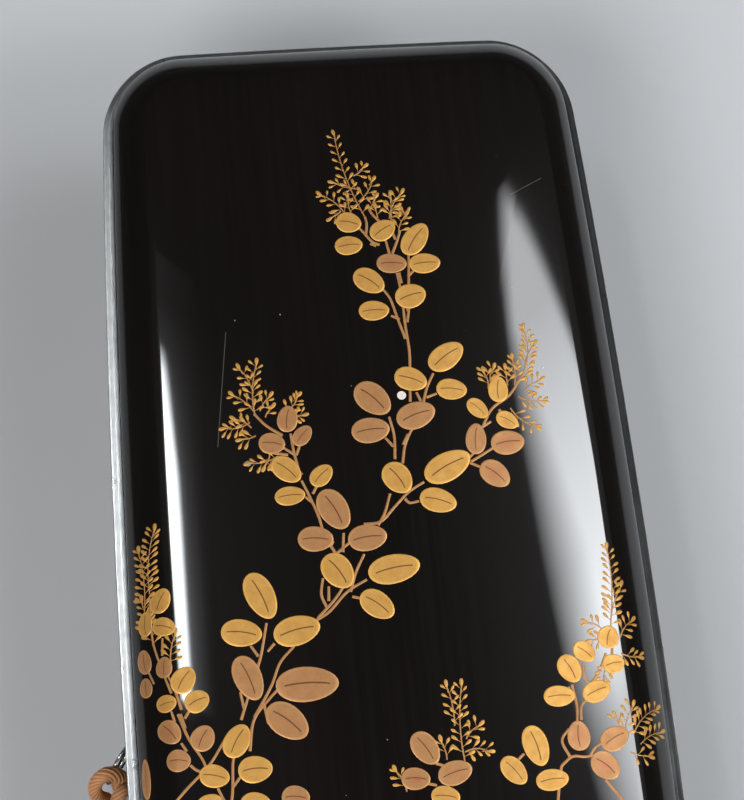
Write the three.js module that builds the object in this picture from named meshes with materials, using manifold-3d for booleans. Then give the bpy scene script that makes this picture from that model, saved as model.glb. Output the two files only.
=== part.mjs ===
// A black lacquer letter box with a domed lid, metal rims, a ring at each long side and a silk cord.
// Millimetres, +Z up. The box's length runs along Y, and z = 0 is the surface that it stands on.
import * as THREE from 'three';
import { mergeVertices } from 'three/addons/utils/BufferGeometryUtils.js';
import Module from 'manifold-3d';

const wasm = await Module();
wasm.setup();

// Plan of the box, taken over the lid's metal rim
const LENGTH = 244;
const WIDTH = 90;
const CORNER_RADIUS = 15;
const SIDE_BOW = 3.3;
const END_BOW = 0.4;
const CORNER_STEPS = 7;
const SIDE_STEPS = 10;
const END_STEPS = 6;

// Body
const SEAM_HEIGHT = 36;
const FLOOR_THICKNESS = 3.2;
const BODY_WALL = 2.7;
const BASE_EDGE_RADIUS = 3;
const FLOOR_FILLET = 2.5;
const EDGE_STEPS = 3;
const LIP_HEIGHT = 2.8;
const LIP_THICKNESS = 1.2;
const LIP_CLEARANCE = 0.3;

// Metal rims, with a hairline of glue between metal and lacquer
const RIM_WIDTH = 2;
const RIM_HEIGHT = 2.4;
const RIM_ROUNDING = 0.9;
const BODY_RIM_INSET = 0.4;
const GLUE = 0.1;

// Lid
const LID_WALL = 2.2;
const LID_FOOT = 1.8;
const SHOULDER_WIDTH = 6;
const SHOULDER_RISE = 4;
const SHOULDER_FULLNESS = 1.3;
const DOME_RISE = 5;
const SHOULDER_STEPS = 6;
const DOME_STEPS = 6;

// Rings and what holds them
const RING_RADIUS = 4;
const RING_WIRE = 0.5;
const STAPLE_DROP = 8;
const STAPLE_REACH = 3;
const STAPLE_HALF_WIDTH = 3.1;
const STAPLE_CORNER = 0.8;
const STAPLE_WIRE = 0.4;
const ROSETTE_RADIUS = 4.4;
const ROSETTE_HOLE = 3.6;
const ROSETTE_THICKNESS = 0.6;
const RING_SLACK = 0.25;
const LEFT_RING_LEAN = THREE.MathUtils.degToRad(55);
const RIGHT_RING_LEAN = THREE.MathUtils.degToRad(16);
const RING_TURN = THREE.MathUtils.degToRad(55);
const RING_STEPS = 28;

// Silk cord: its two strands leave the knot, drop to the surface and are put away in a hank
const CORD_DIAMETER = 2;
const CORD_SIDES = 8;
const CORD_STEP = 2.4 * CORD_DIAMETER;
const CORD_GAP = 0.3;
const KNOT_CENTRE = [-48, -5.6, 27.2];
const KNOT_RADII = [3, 2.8, 4.6];
const HANK_CENTRE = [-64, -45];
const HANK_HALF_RUN = 16;
const HANK_FOLD_RADIUS = 9;
const HANK_WAIST = 4.1;
const HANK_LAYERS = 3;
const HANK_FOLD_STEPS = 6;
const TIE_THICKNESS = 0.8;
const TIE_WIDTH = 4;
const TASSEL_RADIUS = 3.6;
const TASSEL_HEAD_RADIUS = 2.7;
const TASSEL_HEAD_LENGTH = 5.5;
const TASSEL_LENGTH = 30;

// Routes of the strands, chosen by hand along their centres
const LEAD_ROUTES = {
  inner: [[-48.9, -7.2, 22.4], [-49.2, -7.7, 18.2], [-49.6, -8.2, 13.5], [-50.3, -9.1, 8.5],
    [-51.8, -11, 4.2], [-54.1, -13.9, 1.6], [-56.3, -16.9, 1.02], [-57.6, -20.6, 1.02]],
  outer: [[-46.8, -7.5, 22.4], [-47, -8.1, 18.2], [-47.45, -8.7, 13.5], [-48.15, -9.6, 8.5],
    [-49.6, -11.6, 4.2], [-52.1, -14.8, 1.6], [-54.4, -18.1, 1.02], [-55.6, -22, 1.02]],
};
const TAIL_ROUTES = {
  inner: [[-59.2, -70.6, 4.8], [-60.2, -74.4, 2.9], [-62.1, -78.4, 1.3], [-65.2, -82.6, 1.02],
    [-68.4, -87.6, 1.02], [-69.4, -92.2, 1.5], [-69.2, -97.6, 3.4]],
  outer: [[-55.6, -70.6, 4.2], [-55, -74.8, 2], [-54.6, -79, 1.05], [-54.8, -83.4, 1.5],
    [-55.4, -88.6, 3.4]],
};
const TASSEL_HEADS = { inner: [-69.1, -98], outer: [-55.5, -89] };

// Sizes that follow from those above
const LID_WALL_INSET = RIM_WIDTH + GLUE;
const LIP_OUTER_INSET = LID_WALL_INSET + LID_WALL + LIP_CLEARANCE;
const INNER_INSET = LIP_OUTER_INSET + LIP_THICKNESS;
const BODY_WALL_INSET = INNER_INSET - BODY_WALL;
const SHOULDER_PITCH = Math.atan2(SHOULDER_RISE, SHOULDER_WIDTH);
const FOOT_TOP = SEAM_HEIGHT + RIM_HEIGHT + LID_FOOT;
const CREST = FOOT_TOP + SHOULDER_RISE + DOME_RISE;
const BODY_SIDE = WIDTH / 2 - BODY_WALL_INSET;
const STAPLE_HEIGHT = SEAM_HEIGHT - STAPLE_DROP;
const HANK_HEIGHT = HANK_LAYERS * CORD_DIAMETER + TIE_THICKNESS;
const LEFT_HEADING = Math.PI + RING_TURN;
const RIGHT_HEADING = -RING_TURN;

const lacquer = new THREE.MeshStandardMaterial({ color: 0x0d0a0a, roughness: 0.12, metalness: 0 });
const pewter = new THREE.MeshStandardMaterial({ color: 0x7c7f80, roughness: 0.4, metalness: 1 });
const silver = new THREE.MeshStandardMaterial({ color: 0xc8cacb, roughness: 0.2, metalness: 1 });
const silk = new THREE.MeshStandardMaterial({ color: 0xc77b48, roughness: 0.6, metalness: 0 });

// Outline of the box at one inset from the rim: four corner arcs, and sides that bow out at their middles
function outline(inset) {
  const radius = CORNER_RADIUS - inset;
  const x = WIDTH / 2 - inset - radius;
  const y = LENGTH / 2 - inset - radius;
  const centres = [[x, y], [-x, y], [-x, -y], [x, -y]];
  const arcs = centres.map(([cx, cy], corner) => Array.from({ length: CORNER_STEPS + 1 }, (_, i) => {
    const angle = (corner + i / CORNER_STEPS) * Math.PI / 2;
    return new THREE.Vector2(cx + radius * Math.cos(angle), cy + radius * Math.sin(angle));
  }));
  const loop = [];
  arcs.forEach((arc, corner) => {
    const next = arcs[(corner + 1) % arcs.length][0];
    const steps = corner % 2 === 0 ? END_STEPS : SIDE_STEPS;
    loop.push(...arc);
    for (let i = 1; i < steps; i++) loop.push(arc.at(-1).clone().lerp(next, i / steps));
  });
  return loop.map((point) => bowed(point));
}

function bowed(point) {
  const across = point.x / (WIDTH / 2);
  const along = point.y / (LENGTH / 2);
  return new THREE.Vector2(point.x - across * SIDE_BOW * along ** 2, point.y - along * END_BOW * across ** 2);
}

function ringAt(inset, height) {
  return outline(inset).map((p) => new THREE.Vector3(p.x, p.y, height));
}

// Extra height of the domed lid over a flat one, at a place in plan
function dome(x, y) {
  const across = x / (WIDTH / 2);
  const along = y / (LENGTH / 2);
  return DOME_RISE * (1 - across ** 2) * (1 - along ** 2);
}

function centreOf(ring) {
  return ring.reduce((sum, p) => sum.add(p), new THREE.Vector3()).divideScalar(ring.length);
}

// Skin through a row of equal rings. A closed row ends in its first ring,
// and an open one in a fan about each tip.
function loft(rings, closed = false, tips = [centreOf(rings[0]), centreOf(rings.at(-1))]) {
  const count = rings[0].length;
  const positions = rings.flat().flatMap((p) => [p.x, p.y, p.z]);
  const index = [];
  const rows = closed ? rings.length : rings.length - 1;
  for (let row = 0; row < rows; row++) {
    const here = row * count;
    const there = ((row + 1) % rings.length) * count;
    for (let i = 0; i < count; i++) {
      const next = (i + 1) % count;
      index.push(here + i, here + next, there + next, here + i, there + next, there + i);
    }
  }
  if (!closed) {
    const last = (rings.length - 1) * count;
    const first = rings.length * count;
    positions.push(...tips.flatMap((p) => [p.x, p.y, p.z]));
    for (let i = 0; i < count; i++) {
      const next = (i + 1) % count;
      index.push(first, next, i, first + 1, last + i, last + next);
    }
  }
  const geometry = new THREE.BufferGeometry();
  geometry.setAttribute('position', new THREE.Float32BufferAttribute(positions, 3));
  geometry.setIndex(index);
  return geometry;
}

function named(name, geometry, material) {
  const mesh = new THREE.Mesh(geometry, material);
  mesh.name = name;
  return mesh;
}

function solid(geometry) {
  const bare = geometry.clone();
  bare.deleteAttribute('normal');
  bare.deleteAttribute('uv');
  const merged = mergeVertices(bare, 1e-4);
  return new wasm.Manifold(new wasm.Mesh({
    numProp: 3,
    vertProperties: new Float32Array(merged.attributes.position.array),
    triVerts: new Uint32Array(merged.index.array),
  }));
}

function geometryOf(manifold) {
  const mesh = manifold.getMesh();
  const geometry = new THREE.BufferGeometry();
  geometry.setAttribute('position', new THREE.BufferAttribute(mesh.vertProperties, 3));
  geometry.setIndex(new THREE.BufferAttribute(mesh.triVerts, 1));
  return geometry;
}

function roundSection(radius, sides = CORD_SIDES) {
  const corners = Array.from({ length: sides }, (_, i) => {
    const angle = 2 * Math.PI * i / sides;
    return new THREE.Vector2(radius * Math.cos(angle), radius * Math.sin(angle));
  });
  return new THREE.Shape(corners);
}

function tube(points, radius, step) {
  const path = new THREE.CatmullRomCurve3(points.map((p) => new THREE.Vector3(...p)));
  const steps = Math.max(2, Math.round(path.getLength() / step));
  return new THREE.ExtrudeGeometry(roundSection(radius), { extrudePath: path, steps, bevelEnabled: false });
}

// Tray of the box: rounded under its walls, with a thin lip that stands up inside the lid
function bodyGeometry() {
  const rings = [];
  for (let i = 0; i <= EDGE_STEPS; i++) {
    const angle = (i / EDGE_STEPS) * Math.PI / 2;
    const inset = BODY_WALL_INSET + BASE_EDGE_RADIUS * (1 - Math.sin(angle));
    rings.push(ringAt(inset, BASE_EDGE_RADIUS * (1 - Math.cos(angle))));
  }
  rings.push(ringAt(BODY_WALL_INSET, SEAM_HEIGHT));
  rings.push(ringAt(LIP_OUTER_INSET, SEAM_HEIGHT));
  rings.push(ringAt(LIP_OUTER_INSET, SEAM_HEIGHT + LIP_HEIGHT));
  rings.push(ringAt(INNER_INSET, SEAM_HEIGHT + LIP_HEIGHT));
  for (let i = 0; i <= EDGE_STEPS; i++) {
    const angle = (i / EDGE_STEPS) * Math.PI / 2;
    const inset = INNER_INSET + FLOOR_FILLET * (1 - Math.cos(angle));
    rings.push(ringAt(inset, FLOOR_THICKNESS + FLOOR_FILLET * (1 - Math.sin(angle))));
  }
  return loft(rings);
}

// One face of the lid: an upright foot, a sloping shoulder up to a crisp arris, and then the dome.
// It lies `depth` inside the outer skin, all round the foot, the shoulder and the dome.
function lidSkin(depth) {
  const drop = depth * Math.tan((Math.PI / 2 - SHOULDER_PITCH) / 2);
  const inboard = depth * Math.tan(SHOULDER_PITCH / 2);
  const inset = LID_WALL_INSET + depth;
  const width = SHOULDER_WIDTH - depth + inboard;
  const rise = SHOULDER_RISE - depth + drop;
  const base = FOOT_TOP - drop;
  const power = 2 / SHOULDER_FULLNESS;
  const rings = [ringAt(inset, SEAM_HEIGHT)];
  for (let i = 0; i <= SHOULDER_STEPS; i++) {
    const angle = (i / SHOULDER_STEPS) * Math.PI / 2;
    const flat = outline(inset + width * (1 - Math.cos(angle) ** power));
    const height = base + rise * Math.sin(angle) ** power;
    rings.push(flat.map((p) => new THREE.Vector3(p.x, p.y, height + dome(p.x, p.y))));
  }
  const top = outline(inset + width);
  for (let i = 1; i < DOME_STEPS; i++) {
    const share = 1 - i / DOME_STEPS;
    rings.push(top.map((p) => {
      const x = p.x * share;
      const y = p.y * share;
      return new THREE.Vector3(x, y, base + rise + dome(x, y));
    }));
  }
  return rings;
}

function lidGeometry() {
  const tips = [CREST - LID_WALL, CREST].map((z) => new THREE.Vector3(0, 0, z));
  return loft([...lidSkin(LID_WALL).reverse(), ...lidSkin(0)], false, tips);
}

// Metal band with its outer corner rounded, `direction` up from the seam or down from it
function rimGeometry(outerInset, innerInset, direction) {
  const far = SEAM_HEIGHT + direction * RIM_HEIGHT;
  const section = [[innerInset, SEAM_HEIGHT], [outerInset, SEAM_HEIGHT]];
  for (let i = 0; i <= EDGE_STEPS; i++) {
    const angle = (i / EDGE_STEPS) * Math.PI / 2;
    const inset = outerInset + RIM_ROUNDING * (1 - Math.cos(angle));
    section.push([inset, far - direction * RIM_ROUNDING * (1 - Math.sin(angle))]);
  }
  section.push([innerInset, far]);
  const rings = section.map(([inset, height]) => ringAt(inset, height));
  return loft(direction > 0 ? rings : rings.reverse(), true);
}

// Staple: a squared wire loop, level, whose bar stands off the box's side
function stapleGeometry(side) {
  const start = BODY_SIDE + GLUE;
  const reach = BODY_SIDE + STAPLE_REACH;
  const points = [[start, -STAPLE_HALF_WIDTH]];
  for (const [corner, sign] of [[-1, -1], [0, 1]]) {
    for (let i = 0; i <= EDGE_STEPS; i++) {
      const angle = (corner + i / EDGE_STEPS) * Math.PI / 2;
      points.push([
        reach - STAPLE_CORNER * (1 - Math.cos(angle)),
        sign * (STAPLE_HALF_WIDTH - STAPLE_CORNER) + STAPLE_CORNER * Math.sin(angle),
      ]);
    }
  }
  points.push([start, STAPLE_HALF_WIDTH]);
  return tube(points.map(([x, y]) => [side * x, y, STAPLE_HEIGHT]), STAPLE_WIRE, 2 * STAPLE_WIRE);
}

// Rosette: a thin domed washer between the staple's legs and the box's side
function rosetteGeometry(side) {
  const middle = (ROSETTE_RADIUS + ROSETTE_HOLE) / 2;
  const profile = [
    [ROSETTE_HOLE, 0], [ROSETTE_RADIUS, 0], [ROSETTE_RADIUS, ROSETTE_THICKNESS / 2],
    [middle, ROSETTE_THICKNESS], [ROSETTE_HOLE, ROSETTE_THICKNESS / 2], [ROSETTE_HOLE, 0],
  ];
  const washer = new THREE.LatheGeometry(profile.map(([r, h]) => new THREE.Vector2(r, h)), 20);
  washer.rotateZ(-side * Math.PI / 2);
  washer.translate(side * (BODY_SIDE + GLUE), 0, STAPLE_HEIGHT);
  return washer;
}

// Ring hung over its staple's bar. `lean` lifts it out from the box's side, and `heading` swings it round the
// vertical.
function ringGeometry(side, lean, heading, wire = RING_WIRE) {
  const reach = RING_RADIUS - RING_WIRE - STAPLE_WIRE / Math.cos(RING_TURN) - RING_SLACK;
  const ring = new THREE.TorusGeometry(RING_RADIUS, wire, CORD_SIDES, RING_STEPS);
  ring.rotateX(Math.PI / 2);
  ring.translate(reach * Math.sin(lean), 0, -reach * Math.cos(lean));
  ring.rotateZ(heading);
  ring.translate(side * (BODY_SIDE + STAPLE_REACH), 0, STAPLE_HEIGHT);
  return ring;
}

function ringFitting(sideName, side, lean, heading) {
  const fitting = new THREE.Group();
  fitting.add(named(`${sideName}_rosette`, rosetteGeometry(side), pewter));
  fitting.add(named(`${sideName}_staple`, stapleGeometry(side), silver));
  fitting.add(named(`${sideName}_ring`, ringGeometry(side, lean, heading), silver));
  return fitting;
}

// Knot on the left ring, with a way through it for the ring's wire
function knotGeometry() {
  const ball = new THREE.SphereGeometry(1, 16, 12);
  ball.scale(...KNOT_RADII);
  ball.translate(...KNOT_CENTRE);
  const channel = ringGeometry(-1, LEFT_RING_LEAN, LEFT_HEADING, RING_WIRE + CORD_GAP);
  return geometryOf(solid(ball).subtract(solid(channel)));
}

// Squared loop round the hank's waist, `length` along Y, with its hole given by half width, low and high edge
function loopGeometry(halfWidth, low, high, thickness, length) {
  const wall = new THREE.Shape([
    new THREE.Vector2(-halfWidth - thickness, low - thickness),
    new THREE.Vector2(halfWidth + thickness, low - thickness),
    new THREE.Vector2(halfWidth + thickness, high + thickness),
    new THREE.Vector2(-halfWidth - thickness, high + thickness),
  ]);
  wall.holes.push(new THREE.Path([
    new THREE.Vector2(-halfWidth, low),
    new THREE.Vector2(-halfWidth, high),
    new THREE.Vector2(halfWidth, high),
    new THREE.Vector2(halfWidth, low),
  ]));
  const loop = new THREE.ExtrudeGeometry(wall, { depth: length, bevelEnabled: false });
  loop.rotateX(Math.PI / 2);
  loop.translate(HANK_CENTRE[0], HANK_CENTRE[1] + length / 2, 0);
  return loop;
}

// Hank: two round folds, and sides that draw in to the waist where the tie holds them
function hankGeometry() {
  const half = [];
  for (let i = -HANK_FOLD_STEPS; i <= HANK_FOLD_STEPS; i++) {
    const angle = (i / HANK_FOLD_STEPS) * Math.PI / 2;
    const along = HANK_HALF_RUN + HANK_FOLD_RADIUS * Math.cos(angle);
    half.push(new THREE.Vector2(-HANK_FOLD_RADIUS * Math.sin(angle), along));
  }
  const side = [];
  for (let i = 1; i < 2 * HANK_FOLD_STEPS; i++) {
    const share = 1 - i / HANK_FOLD_STEPS;
    const spread = (1 - Math.cos(Math.PI * share)) / 2;
    side.push(new THREE.Vector2(-HANK_WAIST - (HANK_FOLD_RADIUS - HANK_WAIST) * spread, share * HANK_HALF_RUN));
  }
  const upper = [...half, ...side];
  const outlinePoints = [...upper, ...upper.map((p) => p.clone().negate())];
  const footprint = new THREE.Shape(outlinePoints);
  const bundle = new THREE.ExtrudeGeometry(footprint, { depth: HANK_HEIGHT, bevelEnabled: false });
  bundle.translate(HANK_CENTRE[0], HANK_CENTRE[1], 0);
  const low = TIE_THICKNESS + CORD_GAP;
  const groove = loopGeometry(HANK_WAIST, low, HANK_HEIGHT, HANK_FOLD_RADIUS, TIE_WIDTH + 2 * CORD_GAP);
  return geometryOf(solid(bundle).subtract(solid(groove)));
}

function tieGeometry() {
  const halfWidth = HANK_WAIST + CORD_GAP;
  return loopGeometry(halfWidth, TIE_THICKNESS, HANK_HEIGHT + CORD_GAP, TIE_THICKNESS, TIE_WIDTH);
}

// Tassel lying on its side: a round head, a neck and a skirt of silk threads
function tasselMesh(name, [x, y]) {
  const neck = 0.75 * TASSEL_HEAD_RADIUS;
  const profile = [
    [0, 0], [0.7 * TASSEL_HEAD_RADIUS, 0.1 * TASSEL_HEAD_LENGTH],
    [TASSEL_HEAD_RADIUS, 0.45 * TASSEL_HEAD_LENGTH],
    [neck, TASSEL_HEAD_LENGTH], [0.9 * TASSEL_RADIUS, 1.6 * TASSEL_HEAD_LENGTH],
    [TASSEL_RADIUS, 0.7 * TASSEL_LENGTH], [TASSEL_RADIUS, TASSEL_LENGTH], [0, TASSEL_LENGTH],
  ];
  const skirt = new THREE.LatheGeometry(profile.map(([r, l]) => new THREE.Vector2(r, -l)).reverse(), 16);
  const tassel = named(name, skirt, silk);
  tassel.position.set(x, y, TASSEL_RADIUS);
  return tassel;
}

function cord() {
  const group = new THREE.Group();
  group.add(named('cord_knot', knotGeometry(), silk));
  for (const strand of ['inner', 'outer']) {
    const radius = CORD_DIAMETER / 2;
    group.add(named(`${strand}_strand_lead`, tube(LEAD_ROUTES[strand], radius, CORD_STEP), silk));
    group.add(named(`${strand}_strand_tail`, tube(TAIL_ROUTES[strand], radius, CORD_STEP), silk));
    group.add(tasselMesh(`${strand}_tassel`, TASSEL_HEADS[strand]));
  }
  group.add(named('cord_hank', hankGeometry(), silk));
  group.add(named('hank_tie', tieGeometry(), silk));
  return group;
}

const box = new THREE.Group();
box.add(named('body', bodyGeometry(), lacquer));
box.add(named('body_rim', rimGeometry(BODY_RIM_INSET, BODY_WALL_INSET - GLUE, -1), pewter));
box.add(named('lid', lidGeometry(), lacquer));
box.add(named('lid_rim', rimGeometry(0, RIM_WIDTH, 1), pewter));
box.add(ringFitting('left', -1, LEFT_RING_LEAN, LEFT_HEADING));
box.add(ringFitting('right', 1, RIGHT_RING_LEAN, RIGHT_HEADING));
box.add(cord());

export default box;
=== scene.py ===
import math
import random

import bpy
import numpy as np
from mathutils import Matrix, Vector


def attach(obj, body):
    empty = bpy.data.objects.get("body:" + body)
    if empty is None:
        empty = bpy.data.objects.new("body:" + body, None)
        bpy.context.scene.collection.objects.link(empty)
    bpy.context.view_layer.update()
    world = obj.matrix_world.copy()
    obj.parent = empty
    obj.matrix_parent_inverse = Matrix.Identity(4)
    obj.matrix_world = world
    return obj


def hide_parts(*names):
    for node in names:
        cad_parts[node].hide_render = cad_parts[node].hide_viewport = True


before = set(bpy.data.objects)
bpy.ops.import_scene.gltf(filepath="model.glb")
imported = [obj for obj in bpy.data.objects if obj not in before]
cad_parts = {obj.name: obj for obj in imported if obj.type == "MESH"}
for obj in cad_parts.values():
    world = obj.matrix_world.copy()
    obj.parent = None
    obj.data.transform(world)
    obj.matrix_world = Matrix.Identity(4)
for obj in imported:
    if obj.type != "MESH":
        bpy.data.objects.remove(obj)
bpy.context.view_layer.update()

MM = 0.001

# The photograph's camera: place and directions in the part's frame, from a fit to the rim's outline
CAMERA_PLACE_MM = (-35.86, -47.59, 363.31)
CAMERA_RIGHT = (0.99206, -0.09663, 0.08047)
CAMERA_AHEAD = (0.10594, 0.29738, -0.94886)
FOCAL_PIXELS = 2000
PHOTO_HEIGHT_PIXELS = 800
SENSOR_MM = 36

# Plan of the box over the lid's metal rim, in mm
LENGTH = 244
WIDTH = 90
CORNER_RADIUS = 15
SIDE_BOW = 3.3
END_BOW = 0.4

# Body and rims, in mm
SEAM_HEIGHT = 36
FLOOR_THICKNESS = 3.2
BODY_WALL_INSET = 3.1
BASE_EDGE_RADIUS = 3
FLOOR_FILLET = 2.5
LIP_HEIGHT = 2.8
LIP_OUTER_INSET = 4.6
INNER_INSET = 5.8
RIM_WIDTH = 2
RIM_HEIGHT = 2.4
RIM_FLAT = 0.85
RIM_FACET_DROP = 0.42
RIM_OUTER_ROUNDING = 0.4
RIM_INNER_ROUNDING = 0.2
BODY_RIM_INSET = 0.4
GLUE = 0.1

# Lid, in mm
LID_WALL_INSET = 2.1
LID_WALL = 2.2
LID_FOOT = 1.8
SHOULDER_WIDTH = 6
SHOULDER_RISE = 4
SHOULDER_FULLNESS = 1.3
DOME_RISE = 5
SHOULDER_PITCH = math.atan2(SHOULDER_RISE, SHOULDER_WIDTH)
FOOT_TOP = SEAM_HEIGHT + RIM_HEIGHT + LID_FOOT

# Fittings at the sides, in mm
BODY_SIDE = WIDTH / 2 - BODY_WALL_INSET
RING_RADIUS = 4
RING_WIRE = 0.5
RING_SLACK = 0.25
RING_LEANS = {"left": math.radians(55), "right": math.radians(16)}
RING_TURN = math.radians(55)
STAPLE_DROP = 8
STAPLE_REACH = 3
STAPLE_HALF_WIDTH = 3.1
STAPLE_CORNER = 0.8
STAPLE_WIRE = 0.4
ROSETTE_RADIUS = 4.4
ROSETTE_HOLE = 3.6
ROSETTE_THICKNESS = 0.6
STAPLE_HEIGHT = SEAM_HEIGHT - STAPLE_DROP

# Silk cord, in mm
CORD_DIAMETER = 2
CORD_RIBS = 9
CORD_RIB_DEPTH = 0.16
CORD_PITCH = 7.5
HANK_CENTRE = (-64, -45)
HANK_HALF_RUN = 16
HANK_LIFT = 0.95
LANES = {"inner": (6, 1.1), "outer": (8, 3.1)}
LEAD_ROUTES = {
    "inner": [(-48.9, -7.2, 22.4), (-49.2, -7.7, 18.2), (-49.6, -8.2, 13.5), (-50.3, -9.1, 8.5),
              (-51.8, -11, 4.2), (-54.1, -13.9, 1.6), (-56.3, -16.9, 1.02), (-57.6, -20.6, 1.02)],
    "outer": [(-46.8, -7.5, 22.4), (-47, -8.1, 18.2), (-47.45, -8.7, 13.5), (-48.15, -9.6, 8.5),
              (-49.6, -11.6, 4.2), (-52.1, -14.8, 1.6), (-54.4, -18.1, 1.02), (-55.6, -22, 1.02)],
}
TAIL_ROUTES = {
    "inner": [(-59.2, -70.6, 4.8), (-60.2, -74.4, 2.9), (-62.1, -78.4, 1.3), (-65.2, -82.6, 1.02),
              (-68.4, -87.6, 1.02), (-69.4, -92.2, 1.5), (-69.2, -97.6, 3.4)],
    "outer": [(-55.6, -70.6, 4.2), (-55, -74.8, 2), (-54.6, -79, 1.05), (-54.8, -83.4, 1.5),
              (-55.4, -88.6, 3.4)],
}
TASSEL_HEADS = {"inner": (-69.1, -98), "outer": (-55.5, -89)}
TASSEL_RADIUS = 3.6
TASSEL_HEAD_RADIUS = 2.7
TASSEL_HEAD_LENGTH = 5.5
TASSEL_LENGTH = 30
TASSEL_THREADS = 190
TIE_THICKNESS = 0.8
TIE_WIDTH = 4
TIE_HALF_HOLE = 4.4
TIE_HOLE_TOP = 7.1
KNOT_ROUTE = [
    (-48.9, -7.2, 22.6), (-49.6, -7.4, 25), (-50.4, -7, 27.6), (-50.5, -5.9, 29.6), (-49.6, -4.8, 30.8),
    (-48.2, -4.3, 31.2), (-46.9, -4.5, 30.2), (-46.3, -4.9, 28), (-46.6, -5.3, 25.6), (-46.4, -6, 24.4),
    (-45.6, -6.3, 25.6), (-45.4, -6.5, 27.8), (-45.9, -7, 29.4), (-46.6, -7.7, 29.4), (-47, -8.2, 27.8),
    (-47, -8, 25.2), (-46.8, -7.5, 22.6),
]
KNOT_SWELL = 0.42


# Small helpers

def mesh_piece(name, vertices, faces, material, sharp_degrees=38):
    mesh = bpy.data.meshes.new(name)
    mesh.from_pydata([tuple(v) for v in np.asarray(vertices) * MM], [], faces)
    mesh.validate()
    mesh.shade_smooth()
    mesh.set_sharp_from_angle(angle=math.radians(sharp_degrees))
    mesh.materials.append(material)
    piece = bpy.data.objects.new(name, mesh)
    bpy.context.scene.collection.objects.link(piece)
    return piece


def join_tree(tree, kind, inputs=(), **settings):
    """Adds a node to a tree: settings are its properties, and inputs are values or sockets to link from."""
    node = tree.nodes.new(kind)
    for key, value in settings.items():
        setattr(node, key, value)
    for key, value in dict(inputs).items():
        if isinstance(value, bpy.types.NodeSocket):
            tree.links.new(value, node.inputs[key])
        else:
            node.inputs[key].default_value = value
    return node


def sum_of(tree, operation, *values):
    return join_tree(tree, "ShaderNodeMath", dict(enumerate(values)), operation=operation).outputs[0]


def times(tree, a, b):
    return sum_of(tree, "MULTIPLY", a, b)


def plus(tree, a, b):
    return sum_of(tree, "ADD", a, b)


def minus(tree, a, b):
    return sum_of(tree, "SUBTRACT", a, b)


def size_of(tree, value):
    return sum_of(tree, "ABSOLUTE", value)


def vector_of(tree, operation, *values):
    return join_tree(tree, "ShaderNodeVectorMath", dict(enumerate(values)), operation=operation).outputs[0]


def new_group(name, kind, inputs, outputs):
    """A node group with named sockets. Each is (name, socket type) or (name, socket type, default)."""
    tree = bpy.data.node_groups.new(name, kind)
    for in_out, sockets in (("INPUT", inputs), ("OUTPUT", outputs)):
        for title, socket_type, *default in sockets:
            socket = tree.interface.new_socket(title, in_out=in_out, socket_type=socket_type)
            if default:
                socket.default_value = default[0]
    if kind == "GeometryNodeTree":
        tree.is_modifier = True
    return tree, tree.nodes.new("NodeGroupInput").outputs, tree.nodes.new("NodeGroupOutput").inputs


def made_by_nodes(piece, tree, values):
    """Runs a geometry tree on a piece and keeps the result as a plain mesh."""
    modifier = piece.modifiers.new(tree.name, "NODES")
    modifier.node_group = tree
    sockets = {item.name: item.identifier for item in tree.interface.items_tree if item.in_out == "INPUT"}
    for title, value in values.items():
        modifier[sockets[title]] = value
    bpy.context.view_layer.update()
    evaluated = piece.evaluated_get(bpy.context.evaluated_depsgraph_get())
    mesh = bpy.data.meshes.new_from_object(evaluated)
    name = piece.name
    bpy.data.objects.remove(piece)
    mesh.name = name
    plain = bpy.data.objects.new(name, mesh)
    bpy.context.scene.collection.objects.link(plain)
    return plain


def smooth_route(points, step, closed=False):
    """Catmull-Rom line through the points, sampled about every `step`."""
    p = np.asarray(points, float)
    ends = (p[-1], p[0], p[1]) if closed else (2 * p[0] - p[1], 2 * p[-1] - p[-2])
    chain = np.vstack([[ends[0]], p, ends[1:]])
    out = []
    for a, b, c, d in zip(chain, chain[1:], chain[2:], chain[3:]):
        count = max(1, int(round(np.linalg.norm(c - b) / step)))
        for i in range(count):
            t = i / count
            out.append(0.5 * (2 * b + (c - a) * t + (2 * a - 5 * b + 4 * c - d) * t ** 2
                              + (3 * b - a - 3 * c + d) * t ** 3))
    if not closed:
        out.append(p[-1])
    return np.array(out)


def line_piece(name, lines, radii=None, closed=False):
    """A curve object with one poly spline for each line, in mm."""
    curve = bpy.data.curves.new(name, "CURVE")
    curve.dimensions = "3D"
    curve.twist_mode = "MINIMUM"
    for k, line in enumerate(lines):
        spline = curve.splines.new("POLY")
        spline.points.add(len(line) - 1)
        for i, point in enumerate(line):
            spline.points[i].co = (*(np.asarray(point) * MM), 1)
            spline.points[i].radius = 1 if radii is None else radii[k][i]
        spline.use_cyclic_u = closed
    piece = bpy.data.objects.new(name, curve)
    bpy.context.scene.collection.objects.link(piece)
    return piece


# Camera

def set_up_camera():
    data = bpy.data.cameras.new("camera")
    data.sensor_width = SENSOR_MM
    data.lens = FOCAL_PIXELS / PHOTO_HEIGHT_PIXELS * SENSOR_MM
    data.clip_start, data.clip_end = 0.01, 20
    camera = bpy.data.objects.new("camera", data)
    right = Vector(CAMERA_RIGHT).normalized()
    back = -Vector(CAMERA_AHEAD).normalized()
    up = back.cross(right).normalized()
    turn = Matrix((right, up, back)).transposed()
    camera.matrix_world = Matrix.Translation(Vector(CAMERA_PLACE_MM) * MM) @ turn.to_4x4()
    bpy.context.scene.collection.objects.link(camera)
    bpy.context.scene.camera = camera


set_up_camera()


# Shader groups

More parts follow.
